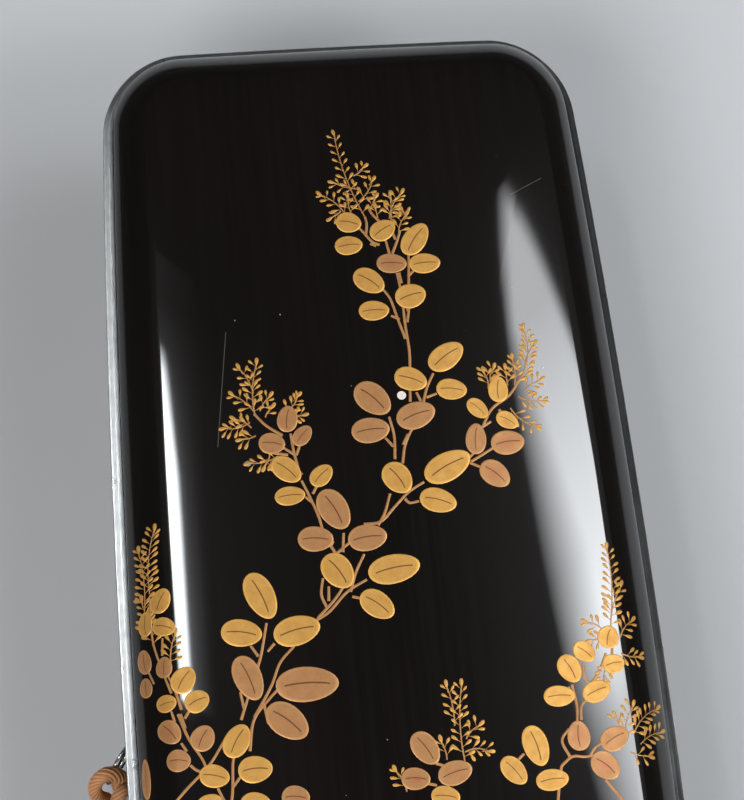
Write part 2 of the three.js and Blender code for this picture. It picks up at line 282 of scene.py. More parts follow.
def mottle_group():
    """Soft uneven patches: a mask from 0 to 1 over the piece's own coordinates."""
    tree, given, result = new_group("mottle", "ShaderNodeTree", [
        ("Size", "NodeSocketFloat", 5.0), ("Detail", "NodeSocketFloat",
                                           4.0), ("Contrast", "NodeSocketFloat", 1.0),
        ("Stretch", "NodeSocketVector", (1, 1, 1))], [("Mask", "NodeSocketFloat")])
    place = join_tree(tree, "ShaderNodeTexCoord").outputs["Object"]
    stretched = vector_of(tree, "MULTIPLY", place, given["Stretch"])
    scale = sum_of(tree, "DIVIDE", 1000.0, given["Size"])
    noise = join_tree(tree, "ShaderNodeTexNoise",
                      {"Vector": stretched, "Scale": scale, "Detail": given["Detail"]})
    centred = minus(tree, noise.outputs[0], 0.5)
    spread = sum_of(tree, "MULTIPLY_ADD", centred, given["Contrast"], 0.5)
    clamp = join_tree(tree, "ShaderNodeClamp", {"Value": spread})
    tree.links.new(clamp.outputs[0], result["Mask"])
    return tree


def speck_group():
    """Sparse round specks, such as dust or worn spots: 1 in a speck and 0 around it."""
    tree, given, result = new_group("specks", "ShaderNodeTree", [
        ("Spacing", "NodeSocketFloat", 4.0), ("Radius", "NodeSocketFloat",
                                              0.04), ("Share", "NodeSocketFloat", 0.3)],
        [("Mask", "NodeSocketFloat")])
    place = join_tree(tree, "ShaderNodeTexCoord").outputs["Object"]
    scale = sum_of(tree, "DIVIDE", 1000.0, given["Spacing"])
    cells = join_tree(tree, "ShaderNodeTexVoronoi", {"Vector": place, "Scale": scale})
    chosen = join_tree(tree, "ShaderNodeSeparateColor", {0: cells.outputs["Color"]})
    kept = sum_of(tree, "LESS_THAN", chosen.outputs[0], given["Share"])
    size = times(tree, given["Radius"], chosen.outputs[1])
    near = sum_of(tree, "LESS_THAN", cells.outputs["Distance"], size)
    both = times(tree, kept, near)
    tree.links.new(both, result["Mask"])
    return tree


def grain_group():
    """Fine granular height for sprinkled metal powder and cast metal."""
    tree, given, result = new_group("grain", "ShaderNodeTree", [
        ("Size", "NodeSocketFloat", 0.2), ("Strength", "NodeSocketFloat", 0.3)],
        [("Normal", "NodeSocketVector")])
    place = join_tree(tree, "ShaderNodeTexCoord").outputs["Object"]
    scale = sum_of(tree, "DIVIDE", 1000.0, given["Size"])
    noise = join_tree(tree, "ShaderNodeTexNoise", {"Vector": place, "Scale": scale, "Detail": 2.0})
    bump = join_tree(tree, "ShaderNodeBump", {"Strength": given["Strength"], "Distance": 0.00005,
                                              "Height": noise.outputs[0]})
    tree.links.new(bump.outputs[0], result["Normal"])
    return tree


MOTTLE = mottle_group()
SPECKS = speck_group()
GRAIN = grain_group()


def new_material(name, **shader_values):
    material = bpy.data.materials.new(name)
    material.use_nodes = True
    shader = material.node_tree.nodes["Principled BSDF"]
    for key, value in shader_values.items():
        shader.inputs[key.replace("_", " ")].default_value = value
    return material, material.node_tree, shader


def use_group(tree, group, **values):
    node = tree.nodes.new("ShaderNodeGroup")
    node.node_tree = group
    for key, value in values.items():
        node.inputs[key].default_value = value
    return node.outputs[0]


def blend_colours(tree, share, first, second):
    node = join_tree(tree, "ShaderNodeMix", data_type="RGBA")
    for socket, value in zip((node.inputs[0], node.inputs[6], node.inputs[7]), (share, first, second)):
        if isinstance(value, bpy.types.NodeSocket):
            tree.links.new(value, socket)
        else:
            socket.default_value = value if isinstance(value, float) else (*value, 1)
    return node.outputs[2]


def between(tree, share, low, high):
    """A number that runs from low to high as share runs from 0 to 1."""
    return join_tree(tree, "ShaderNodeMapRange", {0: share, 3: low, 4: high}).outputs[0]


# Materials

PEARL_DOT = (4.32, 51.6, 0.75)
GREY_DOT = (-22.0, 41.9, 0.5)
# Fine scratches in the lid, each from one place to another
SCRATCHES = (((27.5, 87.7), (33.2, 90.6)), ((-23.9, 65.2), (-26.7, 45.3)))
SCRATCH_WIDTH = 0.07


def dot_mask(tree, x, y, radius):
    place = join_tree(tree, "ShaderNodeTexCoord").outputs["Object"]
    flat = vector_of(tree, "MULTIPLY", place, (1, 1, 0))
    offset = vector_of(tree, "SUBTRACT", flat, (x * MM, y * MM, 0))
    distance = join_tree(tree, "ShaderNodeVectorMath", {0: offset}, operation="LENGTH").outputs["Value"]
    return sum_of(tree, "LESS_THAN", distance, radius * MM)


def scratch_mask(tree, start, end, width):
    place = join_tree(tree, "ShaderNodeTexCoord").outputs["Object"]
    flat = vector_of(tree, "MULTIPLY", place, (1, 1, 0))
    from_start = vector_of(tree, "SUBTRACT", flat, (start[0] * MM, start[1] * MM, 0))
    run = ((end[0] - start[0]) * MM, (end[1] - start[1]) * MM, 0)
    along = join_tree(tree, "ShaderNodeVectorMath", {0: from_start, 1: run},
                      operation="DOT_PRODUCT").outputs["Value"]
    share = join_tree(tree, "ShaderNodeMapRange",
                      {0: along, 1: 0.0, 2: run[0] ** 2 + run[1] ** 2}).outputs[0]
    nearest = join_tree(tree, "ShaderNodeVectorMath", {0: run, "Scale": share},
                        operation="SCALE").outputs[0]
    gap = join_tree(tree, "ShaderNodeVectorMath", {0: vector_of(tree, "SUBTRACT", from_start, nearest)},
                    operation="LENGTH").outputs["Value"]
    return sum_of(tree, "LESS_THAN", gap, width * MM)


def lacquer_material():
    material, tree, shader = new_material("black_lacquer", Coat_Weight=1.0, Coat_Roughness=0.035, IOR=1.45,
                                          Coat_IOR=1.5)
    shader.inputs["Specular IOR Level"].default_value = 0.07
    cloud = use_group(tree, MOTTLE, Size=28.0, Detail=3.0, Contrast=1.6, Stretch=(1, 0.4, 1))
    streak = use_group(tree, MOTTLE, Size=1.1, Detail=5.0, Contrast=2.2, Stretch=(1, 0.03, 0.03))
    dust = use_group(tree, SPECKS, Spacing=4.0, Radius=0.045, Share=0.45)
    warm = blend_colours(tree, cloud, (0.0024, 0.0016, 0.0012), (0.0060, 0.0042, 0.0034))
    polished = blend_colours(tree, between(tree, streak, 0.0, 0.25), warm, (0.0080, 0.0064, 0.0056))
    dusty = blend_colours(tree, between(tree, dust, 0.0, 0.8), polished, (0.30, 0.28, 0.26))
    for start, end in SCRATCHES:
        mask = between(tree, scratch_mask(tree, start, end, SCRATCH_WIDTH), 0.0, 0.5)
        dusty = blend_colours(tree, mask, dusty, (0.13, 0.12, 0.11))
    pearl = blend_colours(tree, dot_mask(tree, *PEARL_DOT), dusty, (0.80, 0.70, 0.66))
    dotted = blend_colours(tree, dot_mask(tree, *GREY_DOT), pearl, (0.20, 0.22, 0.27))
    tree.links.new(dotted, shader.inputs["Base Color"])
    tree.links.new(between(tree, streak, 0.30, 0.42), shader.inputs["Roughness"])
    return material


def pewter_material():
    material, tree, shader = new_material("pewter", Metallic=1.0)
    cloud = use_group(tree, MOTTLE, Size=3.0, Detail=6.0, Contrast=2.4, Stretch=(1, 0.6, 1))
    fine = use_group(tree, MOTTLE, Size=0.5, Detail=3.0, Contrast=2.0, Stretch=(1, 0.3, 1))
    body = blend_colours(tree, cloud, (0.25, 0.26, 0.26), (0.52, 0.53, 0.535))
    marked = blend_colours(tree, between(tree, fine, 0.0, 0.35), body, (0.17, 0.175, 0.17))
    tree.links.new(marked, shader.inputs["Base Color"])
    tree.links.new(between(tree, cloud, 0.42, 0.26), shader.inputs["Roughness"])
    tree.links.new(use_group(tree, GRAIN, Size=0.5, Strength=0.35), shader.inputs["Normal"])
    return material


def silver_material():
    material, tree, shader = new_material("silver", Metallic=1.0)
    cloud = use_group(tree, MOTTLE, Size=1.5, Detail=4.0, Contrast=2.0)
    tree.links.new(blend_colours(tree, cloud, (0.60, 0.60, 0.60), (0.86, 0.86, 0.84)),
                   shader.inputs["Base Color"])
    tree.links.new(between(tree, cloud, 0.30, 0.18), shader.inputs["Roughness"])
    return material


def gold_material(name, pale, deep, worn):
    """Sprinkled gold over lacquer. A leaf's own place, -1 to 1 along and across, sets its midrib."""
    material, tree, shader = new_material(name, Metallic=0.45)
    shader.inputs["Specular IOR Level"].default_value = 0.4
    cloud = use_group(tree, MOTTLE, Size=1.6, Detail=3.0, Contrast=1.8)
    grain = use_group(tree, MOTTLE, Size=0.16, Detail=2.0, Contrast=2.0)
    place = join_tree(tree, "ShaderNodeAttribute", attribute_name="leaf_place").outputs["Vector"]
    tone = join_tree(tree, "ShaderNodeAttribute", attribute_name="leaf_tone").outputs["Fac"]
    along, across, strength = join_tree(tree, "ShaderNodeSeparateXYZ", {0: place}).outputs
    bend = sum_of(tree, "MULTIPLY_ADD", times(tree, along, along), -0.22, 0.08)
    off_rib = size_of(tree, minus(tree, across, bend))
    rib = sum_of(tree, "LESS_THAN", off_rib, 0.045)
    inside = sum_of(tree, "LESS_THAN", size_of(tree, along), 0.72)
    vein = times(tree, times(tree, rib, inside), strength)
    from_middle = join_tree(tree, "ShaderNodeVectorMath",
                            {0: vector_of(tree, "MULTIPLY", place, (1, 1, 0))},
                            operation="LENGTH").outputs["Value"]
    edge = join_tree(tree, "ShaderNodeMapRange", {0: from_middle, 1: 0.84, 2: 0.96}).outputs[0]
    powder = blend_colours(tree, cloud, deep, pale)
    grained = blend_colours(tree, between(tree, grain, 0.0, 0.3), powder, tuple(0.55 * c for c in deep))
    rubbed = join_tree(tree, "ShaderNodeMapRange", {0: from_middle, 1: 0.75, 2: 0.15}).outputs[0]
    patch = times(tree, times(tree, rubbed, cloud), tone)
    old = blend_colours(tree, patch, grained, worn)
    edged = blend_colours(tree, between(tree, edge, 0.0, 0.5), old, tuple(min(1, 1.25 * c) for c in pale))
    veined = blend_colours(tree, between(tree, vein, 0.0, 0.85), edged, (0.10, 0.035, 0.012))
    tree.links.new(veined, shader.inputs["Base Color"])
    tree.links.new(between(tree, cloud, 0.52, 0.40), shader.inputs["Roughness"])
    tree.links.new(use_group(tree, GRAIN, Size=0.18, Strength=0.5), shader.inputs["Normal"])
    return material


# How fast the fine threads turn round the strand, in radians per metre
THREAD_TURN_RATE = 2400.0


def silk_material():
    """Twisted silk: fine threads run round the strand, whose length and turn are attributes. The thread
    crests carry a painted sheen, and the grooves between the ribs a painted shade.
    """
    material, tree, shader = new_material("silk", Roughness=0.55, Sheen_Weight=0.35, Sheen_Roughness=0.35)
    shader.inputs["Sheen Tint"].default_value = (1.0, 0.72, 0.52, 1)
    shader.inputs["Specular IOR Level"].default_value = 0.35
    around = join_tree(tree, "ShaderNodeAttribute", attribute_name="strand_turn").outputs["Fac"]
    along = join_tree(tree, "ShaderNodeAttribute", attribute_name="strand_length").outputs["Fac"]
    cloud = use_group(tree, MOTTLE, Size=4.0, Detail=3.0, Contrast=1.5)
    lane = sum_of(tree, "MULTIPLY_ADD", along, THREAD_TURN_RATE,
                  times(tree, around, 2 * math.tau * CORD_RIBS))
    thread = sum_of(tree, "MULTIPLY_ADD", sum_of(tree, "SINE", lane), 0.5, 0.5)
    rib = size_of(tree, sum_of(tree, "COSINE", times(tree, around, math.pi * CORD_RIBS)))
    body = blend_colours(tree, cloud, (0.42, 0.17, 0.060), (0.58, 0.27, 0.110))
    # Painted sheen: the raised thread crests are coloured paler, standing in for light catching them
    thread_sheen = blend_colours(tree, between(tree, thread, 0.0, 0.25), body, (0.76, 0.45, 0.24))
    # Painted shade: the grooves between the ribs are coloured darker, standing in for shade falling in them
    groove_shade = blend_colours(tree, between(tree, rib, 0.55, 0.0), thread_sheen, (0.14, 0.040, 0.013))
    tree.links.new(groove_shade, shader.inputs["Base Color"])
    bump = join_tree(tree, "ShaderNodeBump", {"Strength": 0.5, "Distance": 0.00006, "Height": thread})
    tree.links.new(bump.outputs[0], shader.inputs["Normal"])
    return material


LACQUER = lacquer_material()
PEWTER = pewter_material()
SILVER = silver_material()
GOLD = gold_material("gold", (0.76, 0.42, 0.102), (0.59, 0.295, 0.063), (0.50, 0.19, 0.07))
ROSE_GOLD = gold_material("rose_gold", (0.56, 0.285, 0.112), (0.44, 0.208, 0.077), (0.44, 0.14, 0.07))
SILK = silk_material()


# Geometry trees

def strand_tree():
    """A strand along a curve: a round or ribbed section that twists as it goes."""
    tree, given, result = new_group("strand", "GeometryNodeTree", [
        ("Path", "NodeSocketGeometry"), ("Radius", "NodeSocketFloat"), ("Sides", "NodeSocketInt"),
        ("Ribs", "NodeSocketFloat"), ("Rib Depth", "NodeSocketFloat"), ("Pitch", "NodeSocketFloat"),
        ("Spacing", "NodeSocketFloat"), ("Finish", "NodeSocketMaterial")],
        [("Strand", "NodeSocketGeometry")])
    circle = join_tree(tree, "GeometryNodeCurvePrimitiveCircle",
                       {"Resolution": given["Sides"], "Radius": given["Radius"]}, mode="RADIUS")
    turn = join_tree(tree, "GeometryNodeSplineParameter").outputs["Factor"]
    wave = size_of(tree, sum_of(tree, "COSINE", sum_of(
        tree, "MULTIPLY", times(tree, turn, math.pi), given["Ribs"])))
    dip = times(tree, minus(tree, 1.0, wave), given["Rib Depth"])
    size = minus(tree, 1.0, dip)
    place = join_tree(tree, "GeometryNodeInputPosition").outputs[0]
    scaled = join_tree(tree, "ShaderNodeVectorMath", {0: place, "Scale": size},
                       operation="SCALE").outputs[0]
    section = join_tree(tree, "GeometryNodeSetPosition",
                        {"Geometry": circle.outputs[0], "Position": scaled})
    section = join_tree(tree, "GeometryNodeStoreNamedAttribute",
                        {"Geometry": section.outputs[0], "Name": "strand_turn", "Value": turn})
    path = join_tree(tree, "GeometryNodeResampleCurve",
                     {"Curve": given["Path"], "Length": given["Spacing"]},
                     mode="LENGTH")
    length = join_tree(tree, "GeometryNodeSplineParameter").outputs["Length"]
    path = join_tree(tree, "GeometryNodeStoreNamedAttribute",
                     {"Geometry": path.outputs[0], "Name": "strand_length", "Value": length})
    twist = sum_of(tree, "DIVIDE", times(tree, length, 2 * math.pi), given["Pitch"])
    path = join_tree(tree, "GeometryNodeSetCurveTilt", {0: path.outputs[0], "Tilt": twist})
    swept = join_tree(tree, "GeometryNodeCurveToMesh",
                      {"Curve": path.outputs[0], "Profile Curve": section.outputs[0], "Fill Caps": True})
    if "Scale" in swept.inputs:
        radius = join_tree(tree, "GeometryNodeInputRadius").outputs[0]
        tree.links.new(radius, swept.inputs["Scale"])
    smooth = join_tree(tree, "GeometryNodeSetShadeSmooth", {0: swept.outputs[0]})
    real = join_tree(tree, "GeometryNodeRealizeInstances", {0: smooth.outputs[0]})
    finished = join_tree(tree, "GeometryNodeSetMaterial", {0: real.outputs[0], "Material": given["Finish"]})
    tree.links.new(finished.outputs[0], result[0])
    return tree


def tassel_tree():
    """Skirt of a tassel: threads fan out from the neck and end in a slightly uneven hem, along -Y."""
    tree, given, result = new_group("tassel_skirt", "GeometryNodeTree", [
        ("Start", "NodeSocketGeometry"), ("Threads", "NodeSocketInt"), ("Neck", "NodeSocketFloat"),
        ("Hem", "NodeSocketFloat"), ("Length", "NodeSocketFloat"), ("Thread Radius", "NodeSocketFloat"),
        ("Place", "NodeSocketVector"), ("Seed", "NodeSocketInt"), ("Finish", "NodeSocketMaterial")],
        [("Skirt", "NodeSocketGeometry")])
    start = join_tree(tree, "GeometryNodePoints", {"Count": given["Threads"]}).outputs[0]
    index = join_tree(tree, "GeometryNodeInputIndex").outputs[0]
    angle = times(tree, index, math.pi * (3 - math.sqrt(5)))
    share = sum_of(tree, "SQRT", sum_of(tree, "DIVIDE", plus(tree, index, 0.5), given["Threads"]))
    chance = join_tree(tree, "FunctionNodeRandomValue", {"Seed": given["Seed"]}, data_type="FLOAT")
    chance.inputs[2].default_value, chance.inputs[3].default_value = -1.0, 1.0
    for title, value in (("thread_angle", angle), ("thread_share", share),
                         ("thread_chance", chance.outputs[1])):
        start = join_tree(tree, "GeometryNodeStoreNamedAttribute",
                          {"Geometry": start, "Name": title, "Value": value}).outputs[0]
    line = join_tree(tree, "GeometryNodeCurvePrimitiveLine", {"End": (0, -1, 0)})
    line = join_tree(tree, "GeometryNodeResampleCurve", {"Curve": line.outputs[0], "Count": 10})
    many = join_tree(tree, "GeometryNodeInstanceOnPoints", {"Points": start, "Instance": line.outputs[0]})
    real = join_tree(tree, "GeometryNodeRealizeInstances", {0: many.outputs[0]})
    read = {title: join_tree(tree, "GeometryNodeInputNamedAttribute", {"Name": title}).outputs[0]
            for title in ("thread_angle", "thread_share", "thread_chance")}
    factor = join_tree(tree, "GeometryNodeSplineParameter").outputs["Factor"]
    opened = join_tree(tree, "ShaderNodeMapRange",
                       {0: factor, 1: 0.0, 2: 0.55, 3: given["Neck"], 4: given["Hem"]},
                       interpolation_type="SMOOTHSTEP").outputs[0]
    sway = sum_of(tree, "SINE", sum_of(tree, "MULTIPLY_ADD", factor, 5.0, sum_of(
        tree, "MULTIPLY", read["thread_chance"], 9.0)))
    loose = times(tree, times(tree, sway, factor), 0.00022)
    reach = plus(tree, times(tree, opened, read["thread_share"]), loose)
    twist = plus(tree, read["thread_angle"], times(tree, factor, sum_of(
        tree, "MULTIPLY", read["thread_chance"], 0.12)))
    x = times(tree, reach, sum_of(tree, "COSINE", twist))
    z = times(tree, reach, sum_of(tree, "SINE", twist))
    uneven = sum_of(tree, "MULTIPLY_ADD", read["thread_chance"], 0.015, 0.985)
    y = times(tree, times(tree, factor, uneven), sum_of(
        tree, "MULTIPLY", given["Length"], -1.0))
    bent = join_tree(tree, "ShaderNodeCombineXYZ", {0: x, 1: y, 2: z}).outputs[0]
    placed = vector_of(tree, "ADD", bent, given["Place"])
    threads = join_tree(tree, "GeometryNodeSetPosition", {"Geometry": real.outputs[0], "Position": placed})
    section = join_tree(tree, "GeometryNodeCurvePrimitiveCircle",
                        {"Resolution": 5, "Radius": given["Thread Radius"]},
                        mode="RADIUS")
    swept = join_tree(tree, "GeometryNodeCurveToMesh", {"Curve": threads.outputs[0],
                                                        "Profile Curve": section.outputs[0],
                                                        "Fill Caps": True})
    smooth = join_tree(tree, "GeometryNodeSetShadeSmooth", {0: swept.outputs[0]})
    finished = join_tree(tree, "GeometryNodeSetMaterial",
                         {0: smooth.outputs[0], "Material": given["Finish"]})
    tree.links.new(finished.outputs[0], result[0])
    return tree


def drop_on(tree, ground, place, height):
    """The place straight below on the ground piece, raised by a height."""
    across, along, _ = join_tree(tree, "ShaderNodeSeparateXYZ", {0: place}).outputs
    above = join_tree(tree, "ShaderNodeCombineXYZ", {0: across, 1: along, 2: 0.1}).outputs[0]
    info = join_tree(tree, "GeometryNodeObjectInfo", {"Object": ground}).outputs["Geometry"]
    ray = join_tree(tree, "GeometryNodeRaycast", {"Target Geometry": info, "Source Position": above,
                                                  "Ray Direction": (0, 0, -1), "Ray Length": 1.0})
    lift = join_tree(tree, "ShaderNodeCombineXYZ", {2: height}).outputs[0]
    return vector_of(tree, "ADD", ray.outputs["Hit Position"], lift)


def leaf_tree():
    """Leaves or buds on points in plan, laid down on the lid. Each point has a turn and a size."""
    tree, given, result = new_group("laid_leaves", "GeometryNodeTree", [
        ("Points", "NodeSocketGeometry"), ("Shape", "NodeSocketObject"), ("Ground", "NodeSocketObject"),
        ("Finish", "NodeSocketMaterial")], [("Leaves", "NodeSocketGeometry")])
    turn = join_tree(tree, "GeometryNodeInputNamedAttribute", {"Name": "turn"}).outputs[0]
    size = join_tree(tree, "GeometryNodeInputNamedAttribute", {"Name": "size"},
                     data_type="FLOAT_VECTOR").outputs[0]
    shape = join_tree(tree, "GeometryNodeObjectInfo", {"Object": given["Shape"]}).outputs["Geometry"]
    spin = join_tree(tree, "ShaderNodeCombineXYZ", {2: turn}).outputs[0]
    points = join_tree(tree, "GeometryNodeMeshToPoints", {"Mesh": given["Points"]}).outputs[0]
    many = join_tree(tree, "GeometryNodeInstanceOnPoints", {"Points": points, "Instance": shape,
                                                            "Rotation": spin, "Scale": size})
    real = join_tree(tree, "GeometryNodeRealizeInstances", {0: many.outputs[0]})
    place = join_tree(tree, "GeometryNodeInputPosition").outputs[0]
    height = join_tree(tree, "ShaderNodeSeparateXYZ", {0: place}).outputs[2]
    laid = join_tree(tree, "GeometryNodeSetPosition",
                     {"Geometry": real.outputs[0],
                      "Position": drop_on(tree, given["Ground"], place, height)})
    smooth = join_tree(tree, "GeometryNodeSetShadeSmooth", {0: laid.outputs[0]})
    finished = join_tree(tree, "GeometryNodeSetMaterial",
                         {0: smooth.outputs[0], "Material": given["Finish"]})
    tree.links.new(finished.outputs[0], result[0])
    return tree


def stem_tree():
    """Stems drawn in plan, laid on the lid as a low oval line, half of it below the surface."""
    tree, given, result = new_group("laid_stems", "GeometryNodeTree", [
        ("Lines", "NodeSocketGeometry"), ("Ground", "NodeSocketObject"), ("Radius", "NodeSocketFloat"),
        ("Flatness", "NodeSocketVector"), ("Spacing", "NodeSocketFloat"), ("Finish", "NodeSocketMaterial")],
        [("Stems", "NodeSocketGeometry")])
    path = join_tree(tree, "GeometryNodeResampleCurve",
                     {"Curve": given["Lines"], "Length": given["Spacing"]},
                     mode="LENGTH")
    place = join_tree(tree, "GeometryNodeInputPosition").outputs[0]
    laid = join_tree(tree, "GeometryNodeSetPosition",
                     {"Geometry": path.outputs[0], "Position": drop_on(tree, given["Ground"], place, 0.0)})
    laid = join_tree(tree, "GeometryNodeSetCurveNormal", {0: laid.outputs[0]}, mode="Z_UP")
    section = join_tree(tree, "GeometryNodeCurvePrimitiveCircle",
                        {"Resolution": 10, "Radius": given["Radius"]},
                        mode="RADIUS")
    section = join_tree(tree, "GeometryNodeTransform",
                        {"Geometry": section.outputs[0], "Scale": given["Flatness"]})
    swept = join_tree(tree, "GeometryNodeCurveToMesh", {"Curve": laid.outputs[0],
                                                        "Profile Curve": section.outputs[0],
                                                        "Fill Caps": True})
    if "Scale" in swept.inputs:
        radius = join_tree(tree, "GeometryNodeInputRadius").outputs[0]
        tree.links.new(radius, swept.inputs["Scale"])
    smooth = join_tree(tree, "GeometryNodeSetShadeSmooth", {0: swept.outputs[0]})
    real = join_tree(tree, "GeometryNodeRealizeInstances", {0: smooth.outputs[0]})
    finished = join_tree(tree, "GeometryNodeSetMaterial", {0: real.outputs[0], "Material": given["Finish"]})
    tree.links.new(finished.outputs[0], result[0])
    return tree


STRAND = strand_tree()
TASSEL = tassel_tree()
LEAVES = leaf_tree()
STEMS = stem_tree()


# Silk cord

def silk_strand(name, route, spacing=0.36):
    piece = line_piece(name, [smooth_route(route, 1.0)])
    return made_by_nodes(piece, STRAND, {
        "Radius": CORD_DIAMETER / 2 * MM, "Sides": 4 * CORD_RIBS, "Ribs": float(CORD_RIBS),
        "Rib Depth": CORD_RIB_DEPTH, "Pitch": CORD_PITCH * MM, "Spacing": spacing * MM, "Finish": SILK})


def hank_run(side, y_from, y_to, fold, waist, height, count=9):
    """One run of a strand between two folds, which draws in and lifts over the tie at the waist."""
    points = []
    for i in range(count):
        y = y_from + (y_to - y_from) * i / (count - 1)
        share = abs(y - HANK_CENTRE[1]) / HANK_HALF_RUN
        x = waist + (fold - waist) * (1 - math.cos(math.pi * share)) / 2
        lift = HANK_LIFT * math.cos(math.pi / 2 * min(1, 1.6 * share)) ** 2
        points.append((HANK_CENTRE[0] + side * x, y, height + lift))
    return points


def hank_fold(end, start_side, fold, low, high, count=9):
    """A half turn at one end, from start_side to the other, that climbs in its first part."""
    points = []
    for i in range(1, count - 1):
        share = i / (count - 1)
        angle = math.pi * share
        climb = min(1, share / 0.6)
        z = low + (high - low) * climb * climb * (3 - 2 * climb)
        points.append((HANK_CENTRE[0] + start_side * fold * math.cos(angle),
                       HANK_CENTRE[1] + end * (HANK_HALF_RUN + fold * math.sin(angle)), z))
    return points


def strand_route(strand):
    fold, waist = LANES[strand]
    far = HANK_CENTRE[1] + HANK_HALF_RUN
    near = HANK_CENTRE[1] - HANK_HALF_RUN
    layers = [CORD_DIAMETER / 2 + 0.02 + CORD_DIAMETER * i for i in range(3)]
    route = list(LEAD_ROUTES[strand])
    for i, height in enumerate(layers):
        route += hank_run(1, far, near, fold, waist, height)
        if i < 2:
            route += hank_fold(-1, 1, fold, height, height)
            route += hank_run(-1, near, far, fold, waist, height)
            route += hank_fold(1, -1, fold, height, layers[i + 1])
    route.append((HANK_CENTRE[0] + fold, near - 4.6, layers[2] + 0.05))
    return route + list(TAIL_ROUTES[strand])


def tassel_head(name, x, y):
    """Wrapped head of a tassel: a ribbed ball with a wound neck."""
    sides, vertices, faces = 40, [], []
    profile = [(0.02, 0), (0.55, 0.06), (0.86, 0.2), (1.0, 0.42), (0.93, 0.64), (0.76, 0.8), (0.78, 0.84),
               (0.84, 0.88),
               (0.78, 0.92), (0.84, 0.96), (0.78, 1.0), (0.84, 1.04), (0.78, 1.08), (0.70, 1.12),
               (0.02, 1.13)]
    for reach, along in profile:
        for i in range(sides):
            angle = 2 * math.pi * i / sides
            rib = 1 - 0.05 * abs(math.cos(10 * angle)) if along < 0.8 else 1
            r = reach * rib * TASSEL_HEAD_RADIUS
            vertices.append((x + r * math.cos(angle), y - along * TASSEL_HEAD_LENGTH,
                             TASSEL_RADIUS + r * math.sin(angle)))
    for k in range(len(profile) - 1):
        for i in range(sides):
            j = (i + 1) % sides
            faces.append((k * sides + i, k * sides + j, (k + 1) * sides + j, (k + 1) * sides + i))
    last = (len(profile) - 1) * sides
    faces.append(tuple(range(sides - 1, -1, -1)))
    faces.append(tuple(last + i for i in range(sides)))
    return mesh_piece(name, vertices, faces, SILK, 60)


def make_cord():
    made = {}
    swell = smooth_route(KNOT_ROUTE, 0.6)
    share = np.linspace(0, 1, len(swell))
    radii = 1 + KNOT_SWELL * np.sin(math.pi * share) ** 0.5 * (0.75 + 0.25 * np.cos(4 * math.pi * share))
    knot = line_piece("silk_knot", [swell], [radii])
    knot = made_by_nodes(knot, STRAND, {
        "Radius": CORD_DIAMETER / 2 * MM, "Sides": 4 * CORD_RIBS, "Ribs": float(CORD_RIBS),
        "Rib Depth": CORD_RIB_DEPTH, "Pitch": CORD_PITCH * MM, "Spacing": 0.3 * MM, "Finish": SILK})
    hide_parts("cord_knot")
    for seed, strand in enumerate(("inner", "outer")):
        route = strand_route(strand)
        path = smooth_route(route, 1.5)
        piece = silk_strand(f"{strand}_strand", route)
        x, y = TASSEL_HEADS[strand]
        head = tassel_head(f"{strand}_tassel_head", x, y)
        start = mesh_piece(f"{strand}_tassel_skirt", [(0, 0, 0)], [], SILK)
        skirt = made_by_nodes(start, TASSEL, {
            "Threads": TASSEL_THREADS, "Neck": 0.72 * TASSEL_HEAD_RADIUS * MM,
            "Hem": (TASSEL_RADIUS - 0.35) * MM, "Length": (TASSEL_LENGTH - TASSEL_HEAD_LENGTH) * MM,
            "Thread Radius": 0.16 * MM, "Place": (x * MM, (y - TASSEL_HEAD_LENGTH) * MM,
                                                  TASSEL_RADIUS * MM),
            "Seed": seed + 3, "Finish": SILK})
        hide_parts(f"{strand}_tassel")
        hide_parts(f"{strand}_strand_lead", f"{strand}_strand_tail")
        made[strand] = (piece, path, route, head, skirt)
    tie = tie_band()
    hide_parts("hank_tie")
    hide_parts("cord_hank")
    for piece in (knot, tie):
        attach(piece, "root")
    for strand, (piece, path, route, head, skirt) in made.items():
        for part in (piece, head, skirt):
            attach(part, "root")


def tie_band():
    """Band of silk threads round the hank's waist."""
    turns, corner, steps = 9, 1.2, 5
    mid_x, low, high = HANK_CENTRE[0], TIE_THICKNESS / 2, TIE_HOLE_TOP + TIE_THICKNESS / 2
    half = TIE_HALF_HOLE + TIE_THICKNESS / 2
    loop = []
    for k, (sx, top) in enumerate(((1, False), (1, True), (-1, True), (-1, False))):
        cx = mid_x + sx * (half - corner)
        cz = high - corner if top else low + corner
        for i in range(steps + 1):
            angle = (k - 1) * math.pi / 2 + i / steps * math.pi / 2
            loop.append((cx + corner * math.cos(angle), cz + corner * math.sin(angle)))
    lines = []
    radius = TIE_THICKNESS / 2
    for t in range(turns):
        y = HANK_CENTRE[1] + (t - (turns - 1) / 2) * (TIE_WIDTH - 2 * radius) / (turns - 1)
        lines.append([(x, y, z) for x, z in loop])
    piece = line_piece("hank_band", lines, closed=True)
    return made_by_nodes(piece, STRAND, {
        "Radius": radius * 0.98 * MM, "Sides": 10, "Ribs": 1.0, "Rib Depth": 0.0, "Pitch": 1.0,
        "Spacing": 0.6 * MM, "Finish": SILK})


make_cord()


# Box

